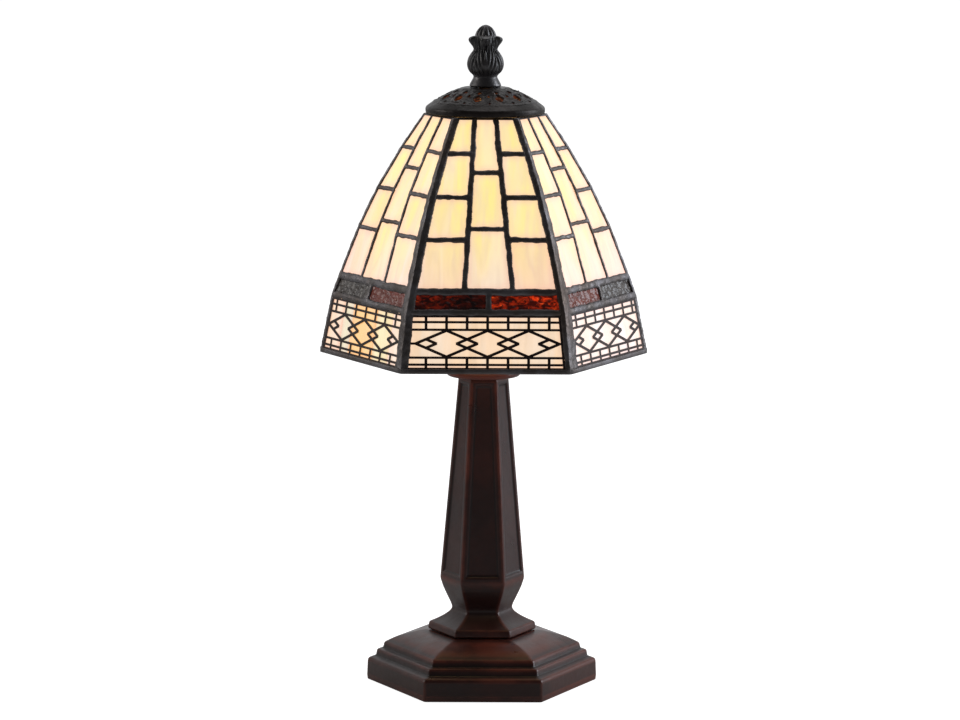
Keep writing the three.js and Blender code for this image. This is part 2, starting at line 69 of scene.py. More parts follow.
def middle(node, axis=2):
    return (low(node, axis) + high(node, axis)) / 2


# ---------------------------------------------------------------- sizes, in millimetres, as in the frame
FOOT_BOTTOM, FOOT_TOP = low("foot"), high("foot")
FOOT_CORNER = high("foot", 0)
STEM_BOTTOM, STEM_TOP = low("stem"), high("stem")
STEM_BORE = 6.2
RECESS = {"bottom": 61, "top": 166.4, "border": 2.3, "slope": 0.9, "depth": 0.9}

FACE = [(183, 76.5), (214.5, 71.1), (225, 67.7), (251.5, 58.8), (273, 49.9), (295, 38.7), (316, 26.5)]
RIM_Z, FRIEZE_TOP, AMBER_TOP = FACE[0][0], FACE[1][0], FACE[2][0]
SIDE_JOINTS = [z for z, _ in FACE[3:6]]
CENTRE_JOINTS = [257, 285.5]
GLASS_TOP = 313.1
GLASS = 2.6  # thickness of the sheet
FOIL = 0.35  # half the gap between two pieces of glass
GLOW_CENTRE = Vector((0, 0, 0.262))  # the lit part of the lamp, in metres
LAMP_HOT = 0.05  # distance from it at which the glass glows most
LAMP_WARM = 0.085  # and at which it glows least
TUBE_HOLE = 5.1  # radius of the holes that let the wiring tube through
GLASS_INSET = 0.6  # how far a sheet stops short of the corner of the shade
TURNING_MARKS = (240.0, 240.0, 1560.0)  # how fine the marks on turned metal are, each way


# ---------------------------------------------------------------- materials
class Look:
    """The nodes of a material or a world. Most methods add a node and give back its output."""

    def __init__(self, name, kind=bpy.data.materials):
        self.owner = kind.new(name)
        self.owner.use_nodes = True
        self.tree = self.owner.node_tree
        self.tree.nodes.clear()
        self.places = self.node("TexCoord").outputs
        self.place = self.places["Object"]

    def node(self, kind, settings=None, **inputs):
        node = self.tree.nodes.new("ShaderNode" + kind)
        for key, value in (settings or {}).items():
            setattr(node, key, value)
        for key, value in inputs.items():
            name = key.replace("_", " ")
            socket = node.inputs[int(name[3:])] if name.startswith("pin") else node.inputs[name]
            if isinstance(value, bpy.types.NodeSocket):
                self.tree.links.new(value, socket)
            else:
                socket.default_value = value
        return node

    def noise(self, scale, detail=3.0, rough=0.5, vector=None, distortion=0.0):
        node = self.node("TexNoise", Scale=scale, Detail=detail, Roughness=rough, Distortion=distortion,
                         Vector=vector or self.place)
        return node.outputs[0]

    def stretched(self, vector, scale):
        return self.node("VectorMath", {"operation": "MULTIPLY"}, pin0=vector, pin1=scale).outputs[0]

    def plus(self, a, b):
        return self.node("Math", {"operation": "ADD"}, pin0=a, pin1=b).outputs[0]

    def times(self, a, b):
        return self.node("Math", {"operation": "MULTIPLY"}, pin0=a, pin1=b).outputs[0]

    def fit(self, value, low_in, high_in, low_out=0.0, high_out=1.0):
        node = self.node("MapRange", {"interpolation_type": "SMOOTHSTEP"}, pin0=value, pin1=low_in,
                         pin2=high_in, pin3=low_out, pin4=high_out)
        return node.outputs[0]

    def mix(self, factor, a, b, blend="MIX"):
        colour = [(*c, 1.0) if isinstance(c, tuple) and len(c) == 3 else c for c in (a, b)]
        node = self.node("MixRGB", {"blend_type": blend}, Fac=factor, Color1=colour[0], Color2=colour[1])
        return node.outputs[0]

    def attribute(self, name, output="Fac"):
        return self.node("Attribute", {"attribute_name": name}).outputs[output]

    def bump(self, height, distance, strength=1.0):
        node = self.node("Bump", Height=height, Distance=distance * MM, Strength=strength)
        return node.outputs[0]

    def surface(self, **inputs):
        shader = self.node("BsdfPrincipled", **inputs)
        out = self.node("OutputMaterial")
        self.tree.links.new(shader.outputs[0], out.inputs[0])
        return self.owner


def casting_look():
    """Cast metal painted mahogany, its paint worn through to red on its edges, with painted shade in its
    corners and recesses.
    """
    look = Look("mahogany_casting")
    wear_and_shade = look.attribute("wear_and_shade")
    cloud = look.noise(28, 4, 0.6)
    fine = look.noise(420, 3, 0.6)
    rub = look.times(look.fit(wear_and_shade, 0.1, 0.9), look.fit(cloud, 0.38, 0.62, 0.25, 1.0))
    body = look.mix(look.fit(cloud, 0.35, 0.7), (0.021, 0.0066, 0.0055), (0.042, 0.0105, 0.0075))
    worn = look.mix(rub, body, (0.105, 0.024, 0.014))
    # painted shade: inward corners and the foot of the stem's sunk panels are darkened
    painted_crevice_shade = look.fit(look.times(wear_and_shade, -1.0), 0.1, 0.9, 0.0, 0.75)
    colour = look.mix(painted_crevice_shade, worn, (0.006, 0.0035, 0.003))
    rough = look.fit(look.noise(55, 5, 0.65), 0.3, 0.7, 0.27, 0.42)
    height = look.plus(look.times(look.noise(70, 3), 1.2), look.times(fine, 0.12))
    return look.surface(Base_Color=colour, Roughness=rough, Specular_IOR_Level=0.3, Coat_Weight=0.08,
                        Coat_Roughness=0.22, Normal=look.bump(height, 0.25))


def solder_look():
    """Solder under a dark patina, a little brighter in patches."""
    look = Look("dark_patina_solder")
    cloud = look.noise(60, 5, 0.65)
    colour = look.mix(look.fit(cloud, 0.35, 0.7), (0.085, 0.073, 0.068), (0.15, 0.143, 0.153))
    brown = look.mix(look.fit(look.noise(23, 3), 0.5, 0.7, 0.0, 0.55), colour, (0.085, 0.056, 0.04))
    rough = look.fit(look.noise(140, 4, 0.6), 0.3, 0.7, 0.36, 0.56)
    height = look.plus(look.noise(300, 4, 0.6), look.times(look.noise(900, 2), 0.3))
    return look.surface(Base_Color=brown, Metallic=0.85, Roughness=rough, Normal=look.bump(height, 0.14))


def filigree_look():
    """Etched copper sheet with a dark brown patina."""
    look = Look("dark_copper_filigree")
    cloud = look.noise(90, 5, 0.65)
    colour = look.mix(look.fit(cloud, 0.4, 0.72), (0.016, 0.007, 0.006), (0.04, 0.02, 0.015))
    return look.surface(Base_Color=colour, Metallic=0.5, Roughness=look.fit(cloud, 0.3, 0.7, 0.38, 0.55),
                        Normal=look.bump(look.noise(700, 4), 0.06))


def charcoal_look(name, gloss, tone):
    """Cast metal with a charcoal finish, darker in its hollows and lighter on what stands proud, with a
    painted orange lamp glow where a piece carries one.
    """
    look = Look(name)
    relief = look.attribute("relief")
    cloud = look.noise(80, 5, 0.6)
    colour = look.mix(look.fit(cloud, 0.35, 0.7), (0.013, 0.0102, 0.0095), (0.028, 0.0225, 0.0215))
    colour = look.mix(1.0, colour, tone, "MULTIPLY")
    colour = look.mix(look.fit(relief, 0.0, 1.0, 0.0, 0.7), colour, (0.062, 0.057, 0.06))
    hollow = look.fit(look.times(relief, -1.0), 0.0, 1.0, 0.0, 0.85)
    colour = look.mix(hollow, colour, (0.004, 0.0035, 0.0035))
    rough = look.fit(look.noise(190, 4), 0.3, 0.7, 0.3, 0.46)
    return look.surface(Base_Color=colour, Metallic=0.3, Roughness=rough, Specular_IOR_Level=gloss,
                        # painted light: an orange glow, as of lamplight, on the cap's inside
                        Emission_Color=(1.0, 0.2, 0.04, 1.0), Emission_Strength=look.attribute("painted_lamplight"),
                        Normal=look.bump(look.noise(520, 4, 0.6), 0.1))


def opal_look():
    """Streaky cream opalescent glass, its lamplight painted on as a glow: yellow near the lamp, peach further
    off.
    """
    look = Look("opal_glass_lit")
    grain = look.attribute("grain", "Vector")
    rim = look.attribute("rim")
    tint = look.attribute("tint", "Color")
    streak = look.noise(1.0, 3, 0.5, look.stretched(grain, (0.10, 0.018, 3.7)), 0.6)
    wisps = look.noise(1.0, 4, 0.55, look.stretched(grain, (0.22, 0.04, 9.1)), 0.9)
    # painted light: the emission is a glow, brightest and yellowest near the lamp
    offset = look.node("VectorMath", {"operation": "DISTANCE"}, pin0=look.place, pin1=GLOW_CENTRE)
    glow = look.fit(offset.outputs["Value"], LAMP_HOT, LAMP_WARM, 1.0, 0.0)
    peach = look.mix(look.fit(streak, 0.35, 0.68), (1.0, 0.725, 0.50), (1.0, 0.80, 0.64))
    yellow = look.mix(look.fit(wisps, 0.35, 0.7), (1.0, 0.86, 0.22), (1.0, 0.82, 0.34))
    lit = look.mix(look.times(glow, look.fit(streak, 0.25, 0.7, 1.0, 0.45)), peach, yellow)
    lit = look.mix(look.fit(rim, 0.0, 1.0, 0.6, 0.0), lit, (1.0, 0.58, 0.44))
    lit = look.mix(1.0, lit, tint, "MULTIPLY")
    strength = look.times(look.fit(glow, 0.0, 1.0, 0.87, 0.93), look.fit(wisps, 0.3, 0.75, 1.05, 0.92))
    height = look.plus(look.noise(35, 2), look.times(streak, 0.5))
    return look.surface(Base_Color=(0.42, 0.39, 0.36, 1.0), Roughness=0.2, Emission_Color=lit,
                        Emission_Strength=strength, Normal=look.bump(height, 0.35))


def amber_look():
    """Hammered red amber glass: stain is its colour, and lit how much painted lamp glow it gives off."""
    look = Look("hammered_amber_glass")
    stain = look.attribute("stain", "Color")
    lit = look.attribute("lit")
    grain = look.attribute("grain", "Vector")
    blotch = look.noise(1.0, 5, 0.65, look.stretched(grain, (0.24, 0.42, 5.3)), 0.8)
    bright = look.mix(look.fit(blotch, 0.42, 0.64), (0.03, 0.0012, 0.0004), (0.42, 0.022, 0.002))
    # painted glints in the glow
    glint = look.fit(look.noise(1.0, 4, 0.6, look.stretched(grain, (0.42, 0.7, 2.1))), 0.58, 0.7)
    sparkle = look.times(glint, look.fit(blotch, 0.45, 0.6, 0.0, 0.7))
    bright = look.mix(sparkle, bright, (0.9, 0.14, 0.015))
    veil = look.noise(1.0, 2, 0.5, look.stretched(grain, (0.045, 0.24, 7.7)))
    _, upward, _ = look.node("SeparateXYZ", pin0=grain).outputs
    # painted light: the glow is made stronger towards the top of the band
    shining = look.times(lit, look.fit(veil, 0.36, 0.64, 0.3, 1.7))
    shining = look.times(shining, look.fit(upward, FRIEZE_TOP, AMBER_TOP - 2, 0.55, 1.4))
    base = look.mix(look.fit(blotch, 0.3, 0.7), stain, look.mix(1.0, stain, (0.3, 0.26, 0.26), "MULTIPLY"))
    return look.surface(Base_Color=base, Roughness=0.27, Specular_IOR_Level=0.38, Emission_Color=bright,
                        Emission_Strength=shining, Normal=look.bump(look.noise(520, 3), 0.12))


def metal_look(name, light, dark, rough=(0.2, 0.34)):
    """Plain metal with faint turning marks and uneven tarnish."""
    look = Look(name)
    cloud = look.noise(75, 5, 0.6)
    marks = look.noise(1.0, 3, 0.6, look.stretched(look.place, TURNING_MARKS))
    colour = look.mix(look.fit(cloud, 0.4, 0.75), light, dark)
    return look.surface(Base_Color=colour, Metallic=1.0, Roughness=look.fit(cloud, 0.3, 0.7, *rough),
                        Normal=look.bump(marks, 0.03))


def rough_iron_look():
    look = Look("rough_iron")
    grain = look.noise(260, 6, 0.7)
    colour = look.mix(look.fit(grain, 0.35, 0.7), (0.035, 0.034, 0.035), (0.10, 0.085, 0.075))
    return look.surface(Base_Color=colour, Metallic=0.6, Roughness=0.62, Normal=look.bump(grain, 0.3))


def phenolic_look():
    look = Look("moulded_phenolic")
    cloud = look.noise(150, 4)
    colour = look.mix(look.fit(cloud, 0.4, 0.7), (0.014, 0.011, 0.010), (0.026, 0.018, 0.014))
    return look.surface(Base_Color=colour, Roughness=look.fit(cloud, 0.3, 0.7, 0.24, 0.38),
                        Normal=look.bump(look.noise(800, 3), 0.04))


def felt_look():
    look = Look("green_felt")
    fibre = look.noise(1900, 6, 0.75, None, 1.5)
    patch = look.noise(90, 3)
    colour = look.mix(look.fit(fibre, 0.35, 0.65), (0.008, 0.026, 0.016), (0.03, 0.075, 0.045))
    colour = look.mix(look.fit(patch, 0.4, 0.7, 0.0, 0.4), colour, (0.012, 0.035, 0.022))
    return look.surface(Base_Color=colour, Roughness=0.95, Sheen_Weight=0.6, Sheen_Roughness=0.5,
                        Specular_IOR_Level=0.1, Normal=look.bump(fibre, 0.25))


def lamp_glass_look():
    """Frosted lamp glass, lit from inside."""
    look = Look("lit_frosted_glass")
    frost = look.noise(240, 4, 0.6)
    warm = look.mix(look.fit(frost, 0.3, 0.7), (1.0, 0.80, 0.50), (1.0, 0.87, 0.62))
    return look.surface(Base_Color=(0.95, 0.9, 0.8, 1.0), Roughness=0.45, Emission_Color=warm,
                        Emission_Strength=look.fit(frost, 0.3, 0.7, 2.6, 3.2), Normal=look.bump(frost, 0.03))


LOOKS = {
    "casting": casting_look(),
    "solder": solder_look(),
    "filigree": filigree_look(),
    "cap_metal": charcoal_look("charcoal_casting", 0.2, (1.0, 0.95, 0.92)),
    "opal_glass": opal_look(),
    "amber_glass": amber_look(),
    "brass": metal_look("lacquered_brass", (0.60, 0.40, 0.15), (0.42, 0.25, 0.09)),
    "steel": metal_look("zinc_plated_steel", (0.62, 0.62, 0.60), (0.40, 0.40, 0.39), (0.28, 0.42)),
    "iron": rough_iron_look(),
    "phenolic": phenolic_look(),
    "felt": felt_look(),
    "lamp_glass": lamp_glass_look(),
}

FINIAL_LOOK = charcoal_look("charcoal_finial", 0.85, (2.0, 2.2, 2.5))

for subpart in frame["record"]["subparts"]:
    node = frame["nodes"][subpart["node"]]
    node.data.materials.clear()
    node.data.materials.append(LOOKS[subpart["material_slot"]])


# ---------------------------------------------------------------- meshes
NO_CEILING = 999.0  # above everything


def outward(mesh):
    """Turns every face of a closed mesh to face out."""
    work = bmesh.new()
    work.from_mesh(mesh)
    bmesh.ops.remove_doubles(work, verts=work.verts, dist=1e-7)
    bmesh.ops.recalc_face_normals(work, faces=work.faces)
    work.to_mesh(mesh)
    work.free()


def make(name, verts, faces, slot, body, stands_for=(), attributes=None, sharp=38):
    """A piece from points in millimetres. attributes holds lists of numbers or vectors, one a point."""
    mesh = bpy.data.meshes.new(name)
    mesh.from_pydata([Vector(v) * MM for v in verts], [], faces)
    for key, values in (attributes or {}).items():
        is_vector = hasattr(values[0], "__len__")
        kind, field = ("FLOAT_VECTOR", "vector") if is_vector else ("FLOAT", "value")
        flat = [x for value in values for x in value] if is_vector else values
        mesh.attributes.new(key, kind, "POINT").data.foreach_set(field, flat)
    outward(mesh)
    mesh.shade_smooth()
    mesh.set_sharp_from_angle(angle=radians(sharp))
    return adopt(bpy.data.objects.new(name, mesh), slot, body, stands_for)


def adopt(piece, slot, body, stands_for=()):
    """Puts a piece in the scene, on its body, with its material, in place of CAD nodes."""
    if piece.name not in bpy.context.scene.collection.objects:
        bpy.context.scene.collection.objects.link(piece)
    piece.data.materials.clear()
    piece.data.materials.append(LOOKS[slot])
    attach(piece, body)
    if stands_for:
        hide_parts(*stands_for)
    return piece


def together(parts):
    """Several shapes, each (points, faces), as one."""
    points, polygons = [], []
    for verts, faces in parts:
        polygons += [[i + len(points) for i in face] for face in faces]
        points += verts
    return points, polygons


def evaluated(piece):
    """A new mesh of the piece with its modifiers applied."""
    return bpy.data.meshes.new_from_object(piece.evaluated_get(bpy.context.evaluated_depsgraph_get()))


def fused(name, parts, voxel, slot, body, stands_for=(), lumps=0.0, seed=0.0, smooth=4, relief=None,
          ceiling=NO_CEILING):
    """Melts overlapping closed shapes, each (points, faces), into one skin, lumpy and trimmed at its top.

    relief(point) gives how far a point is raised, its relief and the painted lamp glow on it.
    """
    mesh = bpy.data.meshes.new(name)
    points, polygons = together(parts)
    mesh.from_pydata([Vector(v) * MM for v in points], [], polygons)
    rough = bpy.data.objects.new(name + "_rough", mesh)
    bpy.context.scene.collection.objects.link(rough)
    melt = rough.modifiers.new("melt", "REMESH")
    melt.mode = "VOXEL"
    melt.voxel_size = voxel * MM
    soften = rough.modifiers.new("soften", "SMOOTH")
    soften.iterations = smooth
    soften.factor = 0.5
    result = evaluated(rough)
    result.name = name
    bpy.data.objects.remove(rough)
    bpy.data.meshes.remove(mesh)
    normals = [v.normal.copy() for v in result.vertices]
    for vertex, normal in zip(result.vertices, normals):
        spot = vertex.co / MM + Vector((seed, 0, 0))
        wave = noise.noise(spot * 0.32) + 0.45 * noise.noise(spot * 0.9)
        vertex.co += normal * (lumps * wave * MM)
        vertex.co.z = min(vertex.co.z, ceiling * MM)
    if relief:
        values = [relief(v.co / MM) for v in result.vertices]
        for vertex, normal, value in zip(result.vertices, normals, values):
            vertex.co += normal * (value[0] * MM)
        for key, column in (("relief", 1), ("painted_lamplight", 2)):
            attribute = result.attributes.new(key, "FLOAT", "POINT")
            attribute.data.foreach_set("value", [value[column] for value in values])
    result.shade_smooth()
    return adopt(bpy.data.objects.new(name, result), slot, body, stands_for)


def raw_object(name, shape):
    verts, faces = shape
    mesh = bpy.data.meshes.new(name)
    mesh.from_pydata([Vector(v) * MM for v in verts], [], faces)
    outward(mesh)
    piece = bpy.data.objects.new(name, mesh)
    bpy.context.scene.collection.objects.link(piece)
    return piece


def cut_mesh(piece, shape, solver):
    """The mesh of a closed object with a shape cut out of it."""
    tool = raw_object("tool", shape)
    boolean = piece.modifiers.new("cut", "BOOLEAN")
    boolean.object, boolean.operation, boolean.solver = tool, "DIFFERENCE", solver
    mesh = evaluated(piece)
    piece.modifiers.clear()
    bpy.data.objects.remove(tool)
    return mesh


def pierced(shape, hole):
    """Points and faces of one closed shape with another cut out of it."""
    body = raw_object("body", shape)
    cut = cut_mesh(body, hole, "MANIFOLD")
    result = [tuple(v.co / MM) for v in cut.vertices], [tuple(p.vertices) for p in cut.polygons]
    bpy.data.meshes.remove(cut)
    bpy.data.objects.remove(body)
    return result


def drill(piece, shape, sharp):
    """Cuts a shape out of a finished piece, which keeps its attributes."""
    piece.data = cut_mesh(piece, shape, "EXACT")
    piece.data.shade_smooth()
    piece.data.set_sharp_from_angle(angle=radians(sharp))


def spline(points, per=8):
    """A smooth line through points of any dimension, with per steps in each span."""
    def between(a, b, c, d, t):
        curve = (2 * a - 5 * b + 4 * c - d) * t ** 2 + (3 * b - a - 3 * c + d) * t ** 3
        return 0.5 * (2 * b + (c - a) * t + curve)

    ends = [points[0]] + list(points) + [points[-1]]
    line = []
    for near in zip(ends, ends[1:], ends[2:], ends[3:]):
        for step in range(per):
            line.append(tuple(between(*axis, step / per) for axis in zip(*near)))
    return line + [tuple(points[-1])]


def rounded(corners, steps=4, margin=0.0):
    """Rounds the corners (x, y, radius) of an outline that goes up its outer side.

    Gives (x, y, mark): 1 on an outward corner, for worn paint, -1 in an inward one, for painted shade,
    and 0 on the flats. margin adds a point on the flat beside each corner, so that the mark fades out there.
    """
    line = []
    for before, (x, y, radius), after in zip(corners[-1:] + corners, corners, corners[1:] + corners[:1]):
        here = Vector((x, y))
        back, ahead = Vector(before[:2]) - here, Vector(after[:2]) - here
        if radius == 0 or back.length < 1e-6 or ahead.length < 1e-6:
            line.append((x, y, 0.0))
            continue
        reach = min(radius, 0.42 * back.length, 0.42 * ahead.length)
        # 1 marks worn paint on an outward corner, -1 painted shade in an inward one
        wear_and_shade = 1.0 if back.x * ahead.y - back.y * ahead.x < 0 else -1.0
        start, end = here + back.normalized() * reach, here + ahead.normalized() * reach
        if margin and back.length > 3 * (reach + margin):
            line.append((*(here + back.normalized() * (reach + margin)), 0.0))
        for step in range(steps + 1):
            t = step / steps
            point = start * (1 - t) ** 2 + here * (2 * t * (1 - t)) + end * t ** 2
            line.append((*point, wear_and_shade * (1 - abs(2 * t - 1) * 0.35)))
        if margin and ahead.length > 3 * (reach + margin):
            line.append((*(here + ahead.normalized() * (reach + margin)), 0.0))
    return line


def grid_faces(rows, columns, closed_rows=False, closed_columns=True):
    """Quads between rows of points."""
    faces = []
    for i in range(rows if closed_rows else rows - 1):
        for j in range(columns if closed_columns else columns - 1):
            a, b = i * columns + j, i * columns + (j + 1) % columns
            c, d = ((i + 1) % rows) * columns + (j + 1) % columns, ((i + 1) % rows) * columns + j
            faces.append((a, b, c, d))
    return faces


def tube_faces(rings, around):
    """Quads between rings of points, and a face over each end."""
    first, last = tuple(range(around)), tuple(range((rings - 1) * around, rings * around))
    return grid_faces(rings, around) + [first, last]


def angles(count):
    """Directions that share a full turn evenly, in radians."""
    return [2 * pi * k / count for k in range(count)]


def divided(path, step):
    """A path of (x, z) points with more of them, about a step apart."""
    line = []
    for (x0, z0), (x1, z1) in zip(path, path[1:]):
        count = max(1, round(hypot(x1 - x0, z1 - z0) / step))
        line += [(x0 + (x1 - x0) * i / count, z0 + (z1 - z0) * i / count) for i in range(count)]
    return line + [path[-1]]


def lathe_shape(profile, segments=72, warp=None, closed=False):
    """Points and faces of a profile (radius, z) turned about Z. An open one starts and ends on the axis."""
    verts = []
    for radius, z in (point[:2] for point in profile):
        for angle in angles(segments):
            r, height = warp(radius, z, angle) if warp else (radius, z)
            verts.append((r * cos(angle), r * sin(angle), height))
    return verts, grid_faces(len(profile), segments, closed_rows=closed)


def lathe(name, profile, slot, body, stands_for, segments=72, closed=False):
    """A turned piece. A profile of (radius, z, wear) also gives its points their wear."""
    verts, faces = lathe_shape(profile, segments, closed=closed)
    attributes = None
    if len(profile[0]) > 2:
        attributes = {"wear_and_shade": [point[2] for point in profile for _ in range(segments)]}
    return make(name, verts, faces, slot, body, stands_for, attributes)


def along_y(shape, z, facing=-1):
    """Lays a turned shape down, so that its axis runs to the front, or to the back, at height z."""
    verts, faces = shape
    return [(x, facing * height, z + y) for x, y, height in verts], faces


# ---------------------------------------------------------------- hexagonal castings
CORNER_REACH = 0.7  # how far from a corner of a hexagon its rounding starts
CORNER_CUT = 0.22  # how much is taken off the corner, for each millimetre of that
FURTHEST_COLUMN = 0.94  # of half a face, for the column of points furthest from the corner


def hexagon_shape(profile, columns, sink=None):
    """A profile (corner radius, z, mark) carried round a hexagon with rounded corners: points, faces, marks.

    columns are (distance from the corner, mark), from the corner inwards on half a face. sink(distance from
    the corner, z) gives how far a point is pressed in and its mark. A mark above 0 is worn paint, below 0
    painted shade.
    """
    verts, wear_and_shade_values = [], []
    for radius, z, wear_and_shade in profile:
        side = radius / 2
        flat = radius * COS30
        limit = side * FURTHEST_COLUMN
        row = [(-1, min(d, limit), w) for d, w in columns] + [(0, side, 0.0)]
        row += [(1, min(d, limit), w) for d, w in reversed(columns)]
        for face in range(SIDES):
            turn = Matrix.Rotation(face * pi / 3, 3, "Z")
            for hand, distance, edge in row:
                x = 0.0 if hand == 0 else hand * (side - distance)
                cut = max(0.0, CORNER_REACH - distance) * CORNER_CUT
                depth, sunk_wear_and_shade = sink(distance, z) if sink else (0.0, 0.0)
                point = Vector((x - hand * cut, -(flat - cut - depth), z))
                verts.append(tuple(turn @ point))
                # a mark below 0, from an inward corner or the foot of a sunk panel, is painted shade
                wear_and_shade_values.append(min(wear_and_shade, sunk_wear_and_shade) if wear_and_shade < 0 or sunk_wear_and_shade < 0 else max(wear_and_shade, edge, sunk_wear_and_shade))
    return verts, grid_faces(len(profile), SIDES * (2 * len(columns) + 1), closed_rows=True), wear_and_shade_values


EDGE_COLUMNS = [(0.05, 0.75), (0.3, 0.75), (0.7, 0.6), (1.9, 0.0), (6.0, 0.0)]


def foot():
    """The hollow foot. Its lower lip hides the felt, and a hole at the back takes the cord bushing."""
    lip, inner, hole = FOOT_BOTTOM - 1.0, 58.6, 4.1
    outline = [
        (61.9, FOOT_BOTTOM, 0.1), (61.9, lip, 0.2), (FOOT_CORNER - 0.3, lip, 0.5), (FOOT_CORNER, 3.0, 0.4),
        (63.0, 12.4, 2.0), (59.2, 13.5, 0.6), (58.5, 14.0, 0.3), (57.9, 17.3, 1.0), (55.1, 17.8, 0.4),
        (54.6, 18.3, 0.3), (53.9, 21.2, 1.0), (47.0, 24.5, 3.0), (38.0, 27.1, 3.0), (30.5, 28.4, 0.4),
        (26.0, FOOT_TOP, 0.2), (STEM_BORE, FOOT_TOP, 0.0), (STEM_BORE, 24.0, 0.0), (20.0, 24.0, 1.0),
        (50.0, 16.5, 1.0), (inner, 11.0, 1.0), (inner, FOOT_BOTTOM, 0.0),
    ]
    verts, faces, wear_and_shade_values = hexagon_shape(rounded(outline, 4, 1.0), EDGE_COLUMNS)
    piece = make("foot_casting", verts, faces, "casting", "stand", ["foot"], {"wear_and_shade": wear_and_shade_values}, sharp=60)
    near, far = low("cord_bushing", 1) - 3, high("cord_bushing", 1) + 3
    rod = lathe_shape([(0, near), (hole, near), (hole, far), (0, far)], 40)
    drill(piece, along_y(rod, middle("cord_bushing"), 1), 60)


def recess_depth(distance, z):
    """How far the stem's sunk panels lie in, and their mark: paint worn to red on their lips, painted shade
    at their foot.
    """
    inside = min(distance - RECESS["border"], z - RECESS["bottom"], RECESS["top"] - z)
    depth = RECESS["depth"] * min(1.0, max(0.0, inside / RECESS["slope"]))
    lip = exp(-((inside + 0.15) / 0.35) ** 2)
    foot_of_slope = exp(-((inside - RECESS["slope"]) / 0.35) ** 2)
    if lip > foot_of_slope:
        return depth, 0.2 * lip
    # painted shade at the foot of the slope
    return depth, -0.9 * foot_of_slope if foot_of_slope > 0.05 else 0.0


def stem():
    """The stem: a collar, a waist and a long taper with a sunk panel in each face."""
    widest, neck = (23.3, 57.6), (13.9, 168.0)
    taper = lambda z: widest[0] + (neck[0] - widest[0]) * (z - widest[1]) / (neck[1] - widest[1])
    waist = spline([(27.6, 33.6), (24.6, 34.9), (21.2, 36.7), (18.0, 39.0), (16.8, 41.0), (17.3, 43.2),
                    (18.9, 46.6), (20.6, 50.2), (21.9, 53.2)], 4)
    outline = [(29.0, STEM_BOTTOM + 0.1, 0.3), (29.9, 29.5, 0.5), (29.2, 32.9, 0.8)]
    outline += [(r, z, 0.0) for r, z in waist]
    outline += [(*widest, 1.6)]
    border, slope = RECESS["border"], RECESS["slope"]
    levels = [RECESS["bottom"] + step for step in (-0.8, 0.0, 0.45, slope, slope + 1.2)]
    levels += [80, 100, 120, 140, 155]
    levels += [RECESS["top"] - step for step in (slope + 1.2, slope, 0.45, 0.0, -0.8)]
    outline += [(taper(z), z, 0.0) for z in levels]
    outline += [(neck[0], neck[1] + 0.2, 0.5), (13.4, STEM_TOP, 0.4), (STEM_BORE, STEM_TOP, 0.0),
                (STEM_BORE, STEM_BOTTOM, 0.0)]
    columns = [(0.05, 1.0), (0.3, 1.0), (0.7, 0.9), (1.25, 0.5), (border - 0.5, 0.2)]
    columns += [(border + step, 0.0) for step in (0.0, 0.45, slope, slope + 1.2)]
    verts, faces, wear_and_shade_values = hexagon_shape(rounded(outline, 4, 0.8), columns, recess_depth)
    return make("stem_casting", verts, faces, "casting", "stand", ["stem"], {"wear_and_shade": wear_and_shade_values}, sharp=60)


def stem_disc():
    bottom, top, radius = low("stem_disc"), high("stem_disc"), high("stem_disc", 0)
    outline = [
        (TUBE_HOLE, bottom, 0), (13.6, bottom, 0.3), (14.6, bottom - 0.4, 0.6),
        (radius - 0.5, bottom - 0.5, 0.5), (radius, bottom + 0.9, 1.0), (radius - 0.2, top - 0.5, 1.0),
        (radius - 2.2, top, 0.8), (9.0, top - 0.7, 1.0), (TUBE_HOLE, top - 0.7, 0),
    ]
    profile = rounded(outline, 4, 0.8)
    return lathe("stem_disc_casting", profile, "casting", "stand", ["stem_disc"], 96, closed=True)


# ---------------------------------------------------------------- the faces of the shade
def apothem(z):
    """Distance from the axis to the front face of the glass."""
    for (z0, a0), (z1, a1) in zip(FACE, FACE[1:]):
        if z <= z1:
            break
    return a0 + (a1 - a0) * (z - z0) / (z1 - z0)


def face_normal(z):
    """The front face's outward direction, smoothed over its bends."""
    reach = 1.2
    bottom, top = max(RIM_Z, z - reach), min(FACE[-1][0], z + reach)
    bend = min(max(z, bottom + 0.01), top - 0.01)
    directions = []
    for a, b in ((bottom, bend), (bend, top)):
        rise = Vector((0, apothem(a) - apothem(b), b - a)).normalized()
        directions.append(Vector((0, -rise.z, rise.y)))
    return (directions[0] + directions[1]).normalized()


def on_face(x, z, out=0.0):
    """A point on the front face: x across it, at the glass's height z, and out from the glass."""
    return Vector((x, -apothem(z), z)) + face_normal(z) * out


def half_side(z):
    return apothem(z) * TAN30


CAME_AT_TOP, CAME_AT_RIM = 2.7, 3.3
COLUMN_AT_TOP, COLUMN_SPREAD = 5.54, 0.0815


def depth_below_top(z):
    """0 at the top of the glass and 1 at the rim."""
    return (GLASS_TOP - z) / (GLASS_TOP - RIM_Z)


def came_width(z):
    """Half the width of the corner seams, on each side of the corner."""
    return CAME_AT_TOP + depth_below_top(z) * (CAME_AT_RIM - CAME_AT_TOP)


def column_edge(z):
    """Half the width of the middle column of glass."""
    return COLUMN_AT_TOP + COLUMN_SPREAD * (GLASS_TOP - z)


# how far the upright joints of a panel stand to the right of its middle, (at the top, at the amber band)
OFF_MIDDLE = {1: (-0.3, 1.4), 2: (1.2, 3.2), 3: (0.4, -0.6), 5: (-0.5, 0.4), 6: (-2.0, -3.2)}


def off_middle(panel, z):
    at_top, at_band = OFF_MIDDLE.get(panel, (0.0, 0.0))
    return at_top + (at_band - at_top) * (GLASS_TOP - z) / (GLASS_TOP - AMBER_TOP)


def turned(shape, panel):
    """The same shape on another face of the hexagon."""
    verts, faces = shape
    turn = Matrix.Rotation((panel - 1) * pi / 3, 3, "Z")
    return [tuple(turn @ Vector(v)) for v in verts], faces


